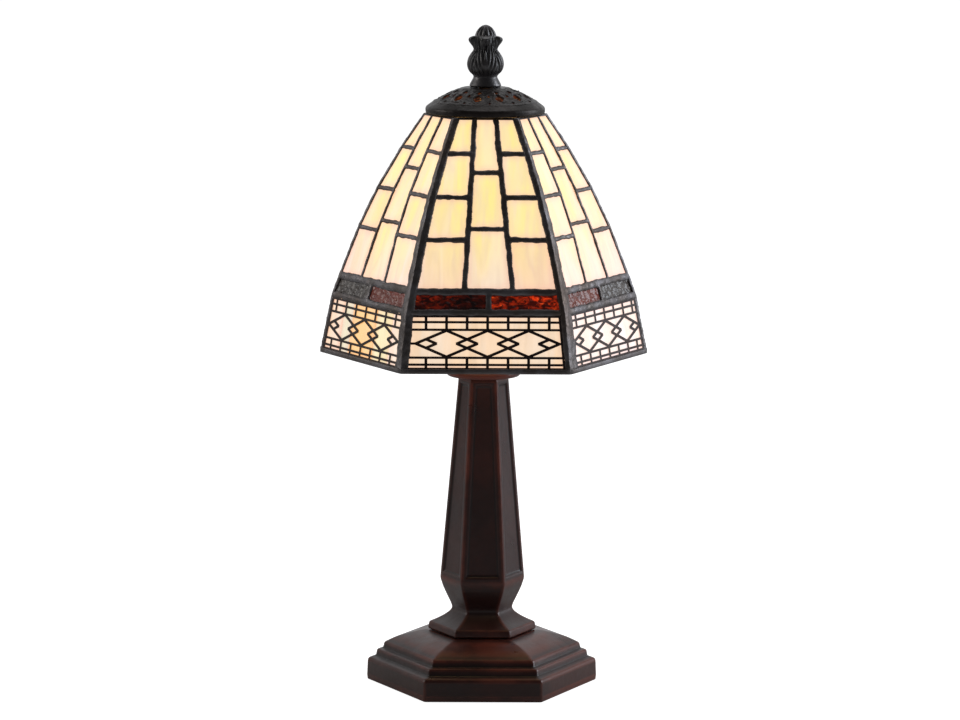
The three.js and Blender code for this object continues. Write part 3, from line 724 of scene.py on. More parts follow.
def sheet_piece(corners, grain, step, thick, surface, seed):
    """One flat piece of glass with softened edges.

    corners are its points in order: low left, low right, high right, high left. grain gives the place of
    each corner in the sheet, and surface(u, v) how far the front swells there. Returns points, faces, the
    grain of each point and rim, 0 at the piece's edge and 1 well inside it.
    """
    width = (corners[1] - corners[0]).length
    height = (corners[3] - corners[0]).length
    normal = (corners[1] - corners[0]).cross(corners[3] - corners[0]).normalized()

    def stations(length):
        soft, band = 0.3 / length, min(0.2, 2.2 / length)
        count = max(2, ceil(length * (1 - 2 * band) / step))
        middle = [band + (1 - 2 * band) * i / count for i in range(count + 1)]
        return [0.0, soft, (soft + band) / 2] + middle + [1 - (soft + band) / 2, 1 - soft, 1.0]

    us, vs = stations(width), stations(height)
    verts, places, rims = [], [], []
    for depth in (0.0, -thick):
        for j, v in enumerate(vs):
            for i, u in enumerate(us):
                weights = ((1 - u) * (1 - v), u * (1 - v), u * v, (1 - u) * v)
                point = sum((c * w for c, w in zip(corners, weights)), Vector())
                place = sum((Vector(g) * w for g, w in zip(grain, weights)), Vector())
                on_edge = i in (0, len(us) - 1) or j in (0, len(vs) - 1)
                edge_distance = min(u * width, (1 - u) * width, v * height, (1 - v) * height)
                if on_edge:
                    offset = depth + (-0.3 if depth == 0 else 0.3)
                else:
                    offset = depth + (surface(place, min(1.0, edge_distance / 2.0)) if depth == 0 else 0.0)
                verts.append(tuple(point + normal * offset))
                places.append((place.x, place.y, seed))
                rims.append(min(1.0, edge_distance / 5.0))
    columns, rows = len(us), len(vs)
    front = grid_faces(rows, columns, closed_columns=False)
    back = [tuple(i + rows * columns for i in reversed(face)) for face in front]
    border = list(range(columns)) + [j * columns + columns - 1 for j in range(1, rows)]
    border += [(rows - 1) * columns + i for i in range(columns - 2, -1, -1)]
    border += [j * columns for j in range(rows - 2, 0, -1)]
    walls = [(a, a + rows * columns, b + rows * columns, b) for a, b in zip(border, border[1:] + border[:1])]
    return verts, front + back + walls, places, rims


def glass_side(z):
    """Half the width of the glass."""
    return half_side(z) - GLASS_INSET


def glass_piece(levels, spans, set_back, step, thick, surface, seed):
    """A piece of glass on the front face between two levels. spans holds its left and right edge at each."""
    (bottom, top), ((low_left, low_right), (high_left, high_right)) = levels, spans
    edges = [(low_left, bottom), (low_right, bottom), (high_right, top), (high_left, top)]
    corners = [on_face(x, z, -set_back) for x, z in edges]
    return sheet_piece(corners, [(x, z, 0) for x, z in edges], step, thick, surface, seed)


def glass_cells(panel):
    """The eleven opal pieces of a panel: (bottom z, top z, left edge, right edge). An edge depends on z."""
    left_joint = lambda z: off_middle(panel, z) - column_edge(z)
    right_joint = lambda z: off_middle(panel, z) + column_edge(z)
    side_levels = [AMBER_TOP] + SIDE_JOINTS + [GLASS_TOP]
    centre_levels = [AMBER_TOP] + CENTRE_JOINTS + [GLASS_TOP]
    cells = []
    for low_z, high_z in zip(side_levels, side_levels[1:]):
        cells.append((low_z, high_z, lambda z: -glass_side(z), left_joint))
        cells.append((low_z, high_z, right_joint, glass_side))
    for low_z, high_z in zip(centre_levels, centre_levels[1:]):
        cells.append((low_z, high_z, left_joint, right_joint))
    return cells


def joined_glass(name, slot, node, panel, pieces, extra):
    """One object of a panel's pieces of glass. extra holds further attributes, a value for each piece."""
    verts, faces, places, rims = [], [], [], []
    more = {key: [] for key in extra}
    for index, (points, polygons, place, rim) in enumerate(pieces):
        faces += [tuple(i + len(verts) for i in face) for face in polygons]
        verts += points
        places += place
        rims += rim
        for key, values in extra.items():
            more[key] += [values[index]] * len(points)
    verts, faces = turned((verts, faces), panel)
    attributes = {"grain": places, "rim": rims, **more}
    return make(f"{name}_{panel}", verts, faces, slot, "shade", [f"{node}_{panel}"], attributes, sharp=50)


OPAL_ROSE = {2: 0.08, 6: 0.05}  # panels whose glass is made slightly pinker


def opal_pieces(panel):
    draw = random.Random(100 + panel)
    swell = lambda place, inner: inner * (0.12 + 0.1 * noise.noise(Vector((place.x, place.y, panel)) * 0.11))
    pieces, tints = [], []
    for index, (low_z, high_z, left, right) in enumerate(glass_cells(panel)):
        seed = panel * 13.7 + index * 1.9
        levels = (low_z + FOIL, high_z - FOIL)
        spans = [(left(z) + FOIL, right(z) - FOIL) for z in levels]
        pieces.append(glass_piece(levels, spans, 0.05, 3.4, GLASS - 0.1, swell, seed))
        warm = draw.random()
        rosy = OPAL_ROSE.get(panel, 0.0)
        tints.append((1.0, 1.0 - 0.07 * warm - rosy, 1.0 - 0.16 * warm + 0.06 * draw.random() - rosy / 2))
    joined_glass("opal_pieces", "opal_glass", "opal_glass", panel, pieces, {"tint": tints})


# (stain of the glass, painted lamp glow in it) for the left and right amber piece of each panel
BLACK_RED = ((0.003, 0.0012, 0.001), 0.16)
RED = ((0.27, 0.06, 0.035), 0.07)
GREY = ((0.12, 0.10, 0.088), 0.0)
BRIGHT = ((0.02, 0.003, 0.001), 0.85)
AMBER = {
    1: (BLACK_RED, BRIGHT),
    2: (RED, GREY),
    3: (GREY, RED),
    4: (BRIGHT, BLACK_RED),
    5: (RED, BRIGHT),
    6: (GREY, RED),
}


def amber_pieces(panel):
    levels = (FRIEZE_TOP + FOIL, AMBER_TOP - FOIL)
    divider = off_middle(panel, AMBER_TOP)
    pieces = []
    for hand in (-1, 1):
        spans = [sorted((divider + hand * FOIL, hand * glass_side(z))) for z in levels]

        def hammered(place, inner):
            spot = Vector((place.x * 0.34 + place.y * 0.15, place.y * 0.48, panel * 7 + hand))
            cells = noise.voronoi(spot, distance_metric="DISTANCE")[0]
            return inner * (0.4 - 0.85 * cells[0] + 0.35 * noise.noise(spot * 1.5))

        pieces.append(glass_piece(levels, spans, 0.1, 0.55, GLASS - 0.3, hammered, panel * 5.1 + hand))
    kinds = AMBER[panel]
    extra = {"stain": [kind[0] for kind in kinds], "lit": [kind[1] for kind in kinds]}
    joined_glass("amber_pieces", "amber_glass", "amber_glass", panel, pieces, extra)


# (right edge, tint) of the pieces of glass under each panel's filigree, from the left
END = 44  # past the side of the panel
PALE = (1.0, 1.0, 1.0)
FRIEZE_TINTS = {
    1: [(END, (1.0, 0.97, 0.9))],
    2: [(END, (1.0, 1.06, 1.3))],
    3: [(-6, (1.0, 0.96, 0.85)), (END, PALE)],
    4: [(END, (1.0, 0.95, 0.88))],
    5: [(15, PALE), (END, (0.95, 0.9, 0.7))],
    6: [(-26, (1.0, 0.93, 0.88)), (-16, (0.82, 0.98, 0.95)), (10, (1.05, 0.8, 0.4)), (27, (0.95, 1.05, 0.8)),
        (END, (0.98, 1.0, 1.05))],
}


def frieze_piece(panel):
    levels = (low("frieze_glass_1") - 0.6, FRIEZE_TOP - FOIL)
    swell = lambda place, inner: inner * 0.08 * noise.noise(Vector((place.x, place.y, panel)) * 0.1)
    half_gap = 0.03
    pieces, tints = [], []
    left = -END
    for right, tint in FRIEZE_TINTS[panel]:
        sides = [glass_side(z) for z in levels]
        spans = [(max(left + half_gap, -side), min(right - half_gap, side)) for side in sides]
        pieces.append(glass_piece(levels, spans, 0.05, 3.0, GLASS - 0.1, swell, panel * 3.3 + right))
        tints.append(tint)
        left = right
    joined_glass("frieze_piece", "opal_glass", "frieze_glass", panel, pieces, {"tint": tints})


# ---------------------------------------------------------------- solder
def bead(path, width, height, seed, inside=False):
    """A half-round bead of solder along (x, z) points of the front face, or on the glass's inner side."""
    depth, facing = (-GLASS, -1) if inside else (0.0, 1)
    line = divided(path, 1.3)
    spots = [on_face(x, z, depth) for x, z in line]
    verts = []
    steps = 8
    for i, (spot, (x, z)) in enumerate(zip(spots, line)):
        ahead = spots[min(i + 1, len(spots) - 1)] - spots[max(i - 1, 0)]
        normal = face_normal(z) * facing
        across = ahead.cross(normal).normalized()
        wide = width / 2 * (1 + 0.22 * noise.noise(spot * 0.3 + Vector((seed, 0, 0))))
        tall = height * (1 + 0.25 * noise.noise(spot * 0.3 + Vector((0, seed, 0))))
        ring = [(cos(pi * k / steps) * wide, sin(pi * k / steps) ** 0.8 * tall) for k in range(steps + 1)]
        ring += [(-wide, -0.35), (wide, -0.35)]
        verts += [tuple(spot + across * s + normal * o) for s, o in ring]
    return verts, tube_faces(len(spots), steps + 3)


LINE_WEIGHT = {1: 1.0, 2: 0.68, 6: 0.72}  # how wide the upright lines of a panel are, 0.85 on the rest
UPRIGHT_LINE, LEVEL_LINE, DIVIDER_LINE = (3.2, 0.75), (3.0, 0.75), (3.1, 1.0)  # (width, height)
AMBER_LINE, FRIEZE_LINE = (4.2, 1.1), (3.9, 1.1)  # along the top and the bottom of the amber band


def panel_lines(panel):
    """Paths and (width, height) of the solder lines of one panel, in (x, z) of the front face."""
    weight = LINE_WEIGHT.get(panel, 0.85)
    reach = lambda z: half_side(z) - 0.5 * came_width(z)
    joint = lambda hand, z: (off_middle(panel, z) + hand * column_edge(z), z)
    upright = (UPRIGHT_LINE[0] * weight, UPRIGHT_LINE[1])
    level = (LEVEL_LINE[0] * (1 + weight) / 2, LEVEL_LINE[1])
    joints = sorted([AMBER_TOP, GLASS_TOP - 0.6] + SIDE_JOINTS + CENTRE_JOINTS)
    lines = []
    for hand in (-1, 1):
        lines.append(([joint(hand, z) for z in joints], *upright))
        lines += [([joint(hand, z), (hand * reach(z), z)], *level) for z in SIDE_JOINTS]
    lines += [([joint(-1, z), joint(1, z)], *level) for z in CENTRE_JOINTS]
    for z, size in ((AMBER_TOP, AMBER_LINE), (FRIEZE_TOP, FRIEZE_LINE)):
        lines.append(([(-reach(z), z), (reach(z), z)], *size))
    divider = off_middle(panel, AMBER_TOP)
    lines.append(([(divider, FRIEZE_TOP), (divider, AMBER_TOP)], *DIVIDER_LINE))
    return lines


def wavering(path, draw, size):
    """The path with a little of the hand in it: inner points of a long line wander, and its ends stay."""
    first, *inner, last = divided(path, 6)
    stray = lambda: draw.uniform(-size, size)
    return [first] + [(x + stray(), z + stray()) for x, z in inner] + [last]


def solder_beads(panel):
    draw = random.Random(panel)
    for side, stands_for in (("outer", [f"solder_lines_{panel}"]), ("inner", [])):
        inside = side == "inner"
        parts = []
        for path, width, height in panel_lines(panel):
            path = wavering(path, draw, 0.22)
            if inside:
                path = [(x * 0.97, min(z, GLASS_TOP - 3)) for x, z in path]
            shape = bead(path, width * draw.uniform(0.93, 1.07), height, draw.uniform(0, 50), inside)
            parts.append(turned(shape, panel))
        fused(f"{side}_solder_{panel}", parts, 0.42, "solder", "shade", stands_for, 0.16, panel * 9.0, 2)


# how full a seam is: (at the top, at the rim on its own panel, at the rim on the next panel)
SEAM_FULLNESS = {1: (0.9, 0.65, 3.0), 2: (0.6, 0.65, 1.0), 5: (0.6, 1.0, 0.65), 6: (1.0, 2.2, 1.1)}


def corner_seam(index):
    """The seam over one corner of the shade, wrapped round both faces."""
    at_top, own_rim, next_rim = SEAM_FULLNESS.get(index, (1.0, 1.1, 1.2))
    verts = []
    steps = 12
    levels = [RIM_Z + 0.4] + [z for z, _ in FACE[1:-1]] + [GLASS_TOP]
    line = divided([(0, z) for z in levels], 2.0)
    other = Matrix.Rotation(pi / 3, 3, "Z")
    for _, z in line:
        depth = depth_below_top(z)
        width = came_width(z) * (1 + 0.14 * noise.noise(Vector((index * 5, 0, z * 0.16))))
        own, following = (width * (at_top + (rim - at_top) * depth) for rim in (own_rim, next_rim))
        tall = 1.4 * at_top * (1 + 0.2 * noise.noise(Vector((0, index * 5, z * 0.12))))
        normal = face_normal(z)
        for k in range(steps + 1):
            s = cos(pi * k / steps)
            near = on_face(half_side(z) - abs(s) * (own if s <= 0 else following), z)
            out = normal
            if s > 0:
                mirror = Vector((-near.x, near.y, near.z))
                near, out = other @ mirror, other @ normal
            blend = 0.5 * exp(-(s / 0.35) ** 2)
            facing = other @ normal if s <= 0 else normal
            direction = (out * (1 - blend) + facing * blend).normalized()
            verts.append(tuple(near + direction * (tall * sqrt(max(0.0, 1 - s * s)) ** 0.8)))
        inward = (normal + other @ normal).normalized()
        corner = on_face(half_side(z), z) - inward * 0.7
        verts.append(tuple(corner))
    return turned((verts, tube_faces(len(line), steps + 2)), index)


def corner_seams():
    """The seams over the corners of the shade, and thinner ones along the corners of its inside."""
    panels = range(1, SIDES + 1)
    parts = [corner_seam(index) for index in panels]
    ceiling = high("corner_frame") - 0.1
    fused("corner_seams", parts, 0.45, "solder", "shade", ["corner_frame"], 0.24, 4.0, 2, ceiling=ceiling)
    levels = (RIM_Z + 4, FRIEZE_TOP, AMBER_TOP, *SIDE_JOINTS, GLASS_TOP - 3)
    around, thick, wide = 8, 1.3, 1.9
    verts = []
    for z in levels:
        middle_out = (apothem(z) - GLASS) / COS30 + 0.6
        verts += [(middle_out + thick * cos(angle), wide * sin(angle), z) for angle in angles(around)]
    seam = (verts, tube_faces(len(levels), around))
    inner = [turned(seam, index) for index in panels]
    fused("inner_corner_seams", inner, 0.55, "solder", "shade", (), 0.14, 8.0)


def top_band():
    """The flat band of solder that ties the six panels together round the opening at the top."""
    top, bottom = high("corner_frame") - 0.05, GLASS_TOP - 0.9
    corner = lambda z, out: (apothem(z) + out) / COS30
    outline = [(corner(bottom, -GLASS - 0.6), bottom, 0.3), (corner(bottom, 0.9), bottom, 0.3),
               (corner(top, 0.6), top, 0.3), (corner(top, -GLASS - 0.6), top, 0.3)]
    verts, faces, _ = hexagon_shape(rounded(outline, 3), [(0.0, 0), (1.5, 0), (6, 0), (12, 0)])
    return make("top_band_solder", verts, faces, "solder", "shade", sharp=55)


def rim_came():
    """The came round the lower edge: a folded strip with rounded lips, uneven where it was soldered."""
    bottom, top = low("rim_came") - 0.4, high("rim_came") - 1.2
    outer = high("rim_came", 0)
    inner = outer - 5.9
    outline = [(inner, bottom + 0.1, 0.9), (outer, bottom + 0.1, 1.0), (outer - 0.4, top + 0.4, 0.8),
               (outer - 1.9, top + 0.4, 0.4), (outer - 1.9, bottom + 1.2, 0), (inner + 1.0, bottom + 1.2, 0),
               (inner + 0.9, top, 0.4), (inner - 0.2, top, 0.4)]
    columns = [(distance, 0) for distance in (0.0, 0.3, 0.7, 1.5, 3, 5, 8, 12, 16, 20, 25, 30, 36)]
    verts, faces, _ = hexagon_shape(rounded(outline, 3), columns)
    wavy = []
    for v in verts:
        spot = Vector(v)
        push = min(0.1 * noise.noise(spot * 0.13) - 0.1, outer - 1.5 - hypot(spot.x, spot.y))
        wavy.append(tuple(spot + Vector((spot.x, spot.y, 0)).normalized() * push))
    return make("rim_came_strip", wavy, faces, "solder", "shade", ["rim_came"], sharp=55)


# ---------------------------------------------------------------- filigree
FILIGREE = {"pitch": 10.8, "bottom": 1.9, "top": 30.4, "rows": (4.5, 8.2, 22.9, 26.9), "middle": 15.6,
            "diamond": 6.9, "rail": 1.25, "edge": 1.1, "side": 1.3, "tick": 1.5, "slant": 1.5, "thick": 0.35,
            "lift": 0.16, "bevel": 0.12}
FILIGREE_TILT = atan2(FACE[0][1] - FACE[1][1], FACE[1][0] - FACE[0][0])  # how far the frieze leans back


def bar_outline(x0, y0, x1, y1, width):
    """A straight bar between two points, a little longer at both ends so that it meets its neighbours."""
    along = Vector((x1 - x0, y1 - y0)).normalized()
    across = Vector((-along.y, along.x)) * (width / 2)
    a, b = Vector((x0, y0)) - along * width * 0.25, Vector((x1, y1)) + along * width * 0.25
    return [a - across, b - across, b + across, a + across]


def filigree_outlines(shift):
    """The filigree's bars as outlines in its plane: x across, y up the slope. shift moves the pattern."""
    f = FILIGREE
    height = lambda y: RIM_Z + y * cos(FILIGREE_TILT)
    edge = lambda y: half_side(height(y)) - came_width(height(y)) + 1.4
    pitch, (_, low_rail, high_rail, _) = f["pitch"], f["rows"]
    outlines = [bar_outline(-edge(y), y, edge(y), y, f["rail"]) for y in f["rows"]]
    outlines += [bar_outline(-edge(y), y, edge(y), y, f["edge"]) for y in (f["bottom"] + 0.5, f["top"] - 0.5)]
    inset = f["side"] / 2
    for hand in (-1, 1):
        outlines.append(bar_outline(hand * (edge(f["bottom"]) - inset), f["bottom"] + 0.4,
                                    hand * (edge(f["top"]) - inset), f["top"] - 0.4, f["side"]))
    for i in range(-3, 4):
        x = i * pitch + shift
        outlines.append(bar_outline(x, f["bottom"] + 0.5, x, low_rail, f["tick"]))
        outlines.append(bar_outline(x, high_rail, x, f["top"] - 0.5, f["tick"]))
    centre, diamond, reach = f["middle"], f["diamond"], 1.5 * pitch
    for i in (-2, 0, 2):
        for hand in (-1, 1):
            for up in (-1, 1):
                x = i * pitch + shift
                outlines.append(bar_outline(x, centre + up * diamond, x + hand * reach, centre, f["slant"]))
    for hand in (-1, 1):
        for up in (-1, 1):
            near, far = (shift + hand * steps * pitch for steps in (2.5, 3))
            outlines.append(bar_outline(near, centre, far, centre + up * diamond / 3, f["slant"]))
        far = shift + hand * 3.5 * pitch
        outlines.append(bar_outline(far, centre, hand * edge(centre), centre, f["rail"]))
    return outlines


def filigree_sheet(shift):
    """The filigree's bars joined in one flat sheet, raised and with its upper edges softened."""
    points, loops = [], []
    for outline in filigree_outlines(shift):
        loops.append(list(range(len(points), len(points) + len(outline))))
        points += outline
    flat, _, triangles, _, _, owners = delaunay_2d_cdt(points, [], loops, 1, 1e-5)
    work = bmesh.new()
    corners = [work.verts.new((p.x, p.y, 0)) for p in flat]
    for triangle, owner in zip(triangles, owners):
        if owner:  # the rest lie in the openings
            work.faces.new([corners[i] for i in triangle])
    bmesh.ops.dissolve_limit(work, angle_limit=radians(1), verts=work.verts, edges=work.edges)
    loose = [v for v in work.verts if not v.link_faces]
    bmesh.ops.delete(work, geom=loose, context="VERTS")
    bmesh.ops.recalc_face_normals(work, faces=work.faces)
    if work.faces[:] and work.faces[0].normal.z < 0:
        bmesh.ops.reverse_faces(work, faces=work.faces)
    bottom = work.faces[:]
    raised = bmesh.ops.extrude_face_region(work, geom=bottom, use_keep_orig=True)
    top_verts = [g for g in raised["geom"] if isinstance(g, bmesh.types.BMVert)]
    top_faces = {g for g in raised["geom"] if isinstance(g, bmesh.types.BMFace)}
    bmesh.ops.translate(work, verts=top_verts, vec=(0, 0, FILIGREE["thick"]))
    bmesh.ops.reverse_faces(work, faces=bottom)
    beside = lambda edge: [face in top_faces for face in edge.link_faces]
    rims = [edge for edge in work.edges if len(beside(edge)) == 2 and sum(beside(edge)) == 1]
    bmesh.ops.bevel(work, geom=rims, offset=FILIGREE["bevel"], segments=2, affect="EDGES", profile=0.5,
                    clamp_overlap=True)
    bmesh.ops.recalc_face_normals(work, faces=work.faces)
    verts = [v.co.copy() for v in work.verts]
    faces = [[v.index for v in f.verts] for f in work.faces]
    work.free()
    return verts, faces


# how far the pattern sits off the middle of each panel
FILIGREE_SHIFT = {1: 1.0, 2: 2.8, 3: -0.6, 4: 0.0, 5: 0.6, 6: -2.0}


def filigree(panel):
    verts, faces = filigree_sheet(FILIGREE_SHIFT[panel])
    upright = Matrix.Rotation(pi / 2 - FILIGREE_TILT, 3, "X")
    normal = Vector((0, -cos(FILIGREE_TILT), sin(FILIGREE_TILT)))
    origin = Vector((0, -FACE[0][1], RIM_Z)) + normal * FILIGREE["lift"]
    placed = []
    for v in verts:
        wobble = 0.05 * noise.noise(Vector((v.x * 0.2, v.y * 0.2, panel)))
        placed.append(tuple(upright @ v + origin + normal * wobble))
    verts, faces = turned((placed, faces), panel)
    make(f"filigree_sheet_{panel}", verts, faces, "filigree", "shade", [f"filigree_{panel}"], sharp=30)


# ---------------------------------------------------------------- cap and finial
VENT_COUNT = 12
VENT_STEP = 2 * pi / VENT_COUNT
VENT_TURN = radians(19)
VENT_RINGS = [  # (distance from the axis, half width, half length, turn in steps of the ring)
    (22.1, 2.3, 2.7, 0.0),
    (16.6, 1.35, 1.7, 0.0),
    (20.0, 0.8, 1.3, 0.5),
    (26.2, 0.8, 0.9, 0.5),
]
CAP_TOP = high("vented_cap") - 0.05
CAP_LINE = [(0.0, CAP_TOP), (12.2, CAP_TOP), (19.3, 324.5), (27.6, 320.1), (31.7, 317.1)]


def cap_height(r):
    """The cap's outer surface."""
    for (r0, z0), (r1, z1) in zip(CAP_LINE, CAP_LINE[1:]):
        if r <= r1:
            return z0 + (z1 - z0) * (r - r0) / (r1 - r0)
    return CAP_LINE[-1][1]


def vent_cutter(radius, wide, tall, angle):
    """A leaf-shaped hole through the cap, pointed towards the rim and the crown."""
    count = 16
    outline = [(wide * sin(t) * (1 - 0.5 * abs(cos(t))), tall * cos(t)) for t in angles(count)]
    verts = []
    for z in (300.0, 335.0):
        for x, y in outline:
            distance = radius - y
            verts.append((x * cos(angle) + distance * sin(angle), x * sin(angle) - distance * cos(angle), z))
    faces = [tuple(range(count)), tuple(range(2 * count - 1, count - 1, -1))]
    faces += [(k, k + count, (k + 1) % count + count, (k + 1) % count) for k in range(count)]
    return verts, faces


def cap_relief(spot):
    """Raised rims round the vents: (height in millimetres, relief from -1 to 1, painted lamp glow on the
    inside).
    """
    r = hypot(spot.x, spot.y)
    if spot.z < cap_height(r) - 0.55:
        # painted light: a patchy orange glow inside the cap, as if the lamp lit it
        return 0.0, 0.0, 0.14 * max(0.12, noise.noise(spot * 0.55) + 0.25) * (r < 30)
    if not 12.5 < r < 28.5:
        return 0.0, 0.0, 0.0
    around = (atan2(spot.x, -spot.y) - VENT_TURN) / VENT_STEP
    value = -0.12
    for radius, wide, tall, turn in VENT_RINGS:
        off = ((around - turn + 0.5) % 1.0 - 0.5) * VENT_STEP * radius
        reach = hypot(off / wide, (r - radius) / tall)
        value += 0.24 * exp(-((reach - 1.3) / 0.2) ** 2) * (1 + noise.noise(spot * 0.7))
    value += 0.2 * exp(-((r - 13.2) / 0.7) ** 2) + 0.2 * exp(-((r - 28.0) / 0.6) ** 2)
    value += 0.22 * noise.noise(spot * 0.8)
    return value, max(-1.0, min(1.0, value * 2.6)), 0.0


def vented_cap():
    """The round cap, its vents cut right through."""
    rim, bottom = 32.3, low("vented_cap") - 0.3
    hole, thick = 3.7, 1.2
    radii = [31.7, 30.2, 28.6, 27.6, 25.5, 23, 21, 19.3, 17, 15, 13.4, 12.2]
    outline = [(rim - thick, bottom + 0.1, 0.3), (rim - 0.1, bottom + 0.1, 0.4), (rim, 314.8, 0.5),
               (rim, 316.3, 0.6)]
    outline += [(r, cap_height(r), 0.0) for r in radii]
    outline += [(hole, cap_height(0), 0.2), (hole, cap_height(0) - thick, 0.2)]
    outline += [(r - 0.3, cap_height(r) - thick - 0.2, 0.0) for r in reversed(radii[2:])]
    outline += [(rim - thick, 316.0, 0.5)]
    shell = lathe_shape(rounded(outline, 3), 96, closed=True)
    holes = []
    for i in range(VENT_COUNT):
        for radius, wide, tall, turn in VENT_RINGS:
            holes.append(vent_cutter(radius, wide, tall, VENT_TURN + (i + turn) * VENT_STEP))
    shape = pierced(shell, together(holes))
    fused("vented_cap_casting", [shape], 0.42, "cap_metal", "cap", ["vented_cap"], 0.05, 2.0, 2, cap_relief)


FINIAL_BODY = [
    (8.2, 327.7), (8.55, 328.4), (8.2, 329.4), (7.4, 330.9), (6.65, 332.3), (6.5, 333.3), (7.3, 334.4),
    (8.5, 335.5), (9.6, 337.6), (9.95, 340.2), (9.35, 343.0), (8.1, 345.3), (6.7, 347.2), (6.55, 348.2),
    (7.4, 349.8), (8.6, 351.3), (9.2, 352.6), (8.9, 353.8), (7.3, 354.7), (5.9, 355.0), (5.6, 355.6),
    (5.15, 356.9), (4.2, 358.4), (3.1, 359.6), (1.7, 360.5), (0.5, 360.85),
]
FINIAL_LEAVES = {"count": 4, "half": 0.43, "bottom": 333.6, "neck": 347.0, "tip": 355.0}
FINIAL_VEINS = 28  # grooves round the bulb
BUD_RIBS = 14
FINIAL_BORE, FINIAL_BORE_TOP = 5.1, 346.0


def finial_warp(radius, z, angle):
    """Carves the finial: a veined bulb, four leaves whose tips curl out of its neck, and a ribbed bud."""
    leaf = FINIAL_LEAVES
    turn = 2 * pi / leaf["count"]
    side = abs(((angle + turn / 2) % turn) - turn / 2)
    if z < leaf["bottom"]:
        return radius, z
    if z > leaf["neck"] + 0.8 and z < leaf["tip"] + 0.4:
        core = min(radius, 6.35 - 0.06 * (z - leaf["neck"]))
        radius = core + (radius - core) * exp(-(side / leaf["half"]) ** 4)
    if z < leaf["tip"]:
        fade = min(1.0, (z - leaf["bottom"]) / 2.0, (leaf["tip"] - z) / 2.5)
        spread = FINIAL_VEINS * side - 0.75 * (z - leaf["bottom"]) * min(1.0, side / 0.15)
        groove = (0.5 - 0.5 * cos(spread)) ** 0.8
        between = exp(-((side - turn / 2) / 0.09) ** 2) * (z < leaf["neck"])
        return radius - fade * (0.62 * groove + 0.45 * between), z
    rib = (0.5 - 0.5 * cos(BUD_RIBS * angle)) ** 0.8
    return max(0.05, radius - 0.55 * rib * min(1.0, (z - leaf["tip"]) / 0.8) * min(1.0, radius / 3.5)), z


def finial():
    """The cast finial, its hollows darker. It is bored for its insert."""
    segments, carving_starts = 192, 333.8
    hollow = [(0.0, FINIAL_BORE_TOP), (FINIAL_BORE, FINIAL_BORE_TOP), (FINIAL_BORE, FINIAL_BODY[0][1])]
    profile = hollow + spline(FINIAL_BODY, 8) + [(0.0, FINIAL_BODY[-1][1] + 0.1)]

    def carved(radius, z, angle):
        outside = radius > FINIAL_BORE + 0.05 or z > FINIAL_BORE_TOP + 0.1
        return finial_warp(radius, z, angle) if radius > 0.3 and outside else (radius, z)

    verts, faces = lathe_shape(profile, segments, carved)
    relief = []
    for index, (x, y, z) in enumerate(verts):
        radius = profile[index // segments][0]
        relief.append(max(-1.0, 0.5 + (hypot(x, y) - radius) * 2.4) if z > carving_starts else 0.0)
    attributes = {"relief": relief}
    piece = make("finial_casting", verts, faces, "cap_metal", "finial", ["finial"], attributes, sharp=80)
    piece.data.materials[0] = FINIAL_LOOK
    return piece


# ---------------------------------------------------------------- fittings inside the shade
def bracket():
    """The wire bracket that carries the shade, as one round rod."""
    rod, half = 2.0, 29.0
    foot_z, shoulder, top = low("shade_bracket") + 0.05, 250.0, high("shade_bracket") - 2.0
    right = [(half, foot_z), (half, 200.0), (half, 225.0), (half, shoulder)]
    arc = [radians(15 * k) for k in range(1, 7)]
    right += [(half * cos(t), shoulder + (top - shoulder) * sin(t)) for t in arc]
    path = right + [(-x, z) for x, z in reversed(right[:-1])]
    line = spline(path, 8)
    verts, around = [], 20
    for i, (x, z) in enumerate(line):
        before, after = line[max(0, i - 1)], line[min(len(line) - 1, i + 1)]
        along = Vector((after[0] - before[0], 0, after[1] - before[1])).normalized()
        side = Vector((0, 1, 0))
        up = along.cross(side)
        end = min(i, len(line) - 1 - i)
        radius = rod * (0.82 if end == 0 else 0.98)
        for t in angles(around):
            verts.append(tuple(Vector((x, 0, z)) + side * (radius * cos(t)) + up * (radius * sin(t))))
    return make("bracket_rod", verts, tube_faces(len(line), around), "brass", "stand", ["shade_bracket"])


def saddle():
    """The strap under the bracket, with rounded ends and softened edges."""
    low_corner, high_corner = [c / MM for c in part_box("bracket_saddle")]
    half, wide = high_corner.x, high_corner.y
    count, soft, end = 48, 0.35, half - wide
    bottom, top = low_corner.z, high_corner.z
    verts = []
    for z, inset in ((bottom, soft), (bottom + soft, 0), (top - soft, 0), (top, soft)):
        for t in angles(count):
            shift = end if cos(t) > 0 else -end
            verts.append(((wide - inset) * cos(t) + shift, (wide - inset) * sin(t), z))
    for z in (top, bottom):
        verts += [(TUBE_HOLE * cos(t), TUBE_HOLE * sin(t), z) for t in angles(count)]
    faces = grid_faces(6, count, closed_rows=True)
    return make("saddle_strap", verts, faces, "brass", "stand", ["bracket_saddle"])


def hex_nut(name, node, across, hole, slot):
    """A nut with chamfered corners."""
    bottom, top = low(node) + 0.02, high(node) - 0.02
    corner = across / 2 / COS30
    chamfered = corner * 0.93
    outline = [(chamfered, bottom, 0), (corner, bottom + 0.5, 0), (corner, top - 0.5, 0), (chamfered, top, 0)]
    verts, _, _ = hexagon_shape(outline, [(0.05, 0), (0.3, 0), (0.8, 0)])
    count = len(verts) // len(outline)
    bore = []
    for z in (top, bottom):
        for x, y, _ in verts[:count]:
            r = hypot(x, y)
            bore.append((x / r * hole, y / r * hole, z))
    faces = grid_faces(len(outline) + 2, count, closed_rows=True)
    return make(name, verts + bore, faces, slot, "stand", [node])


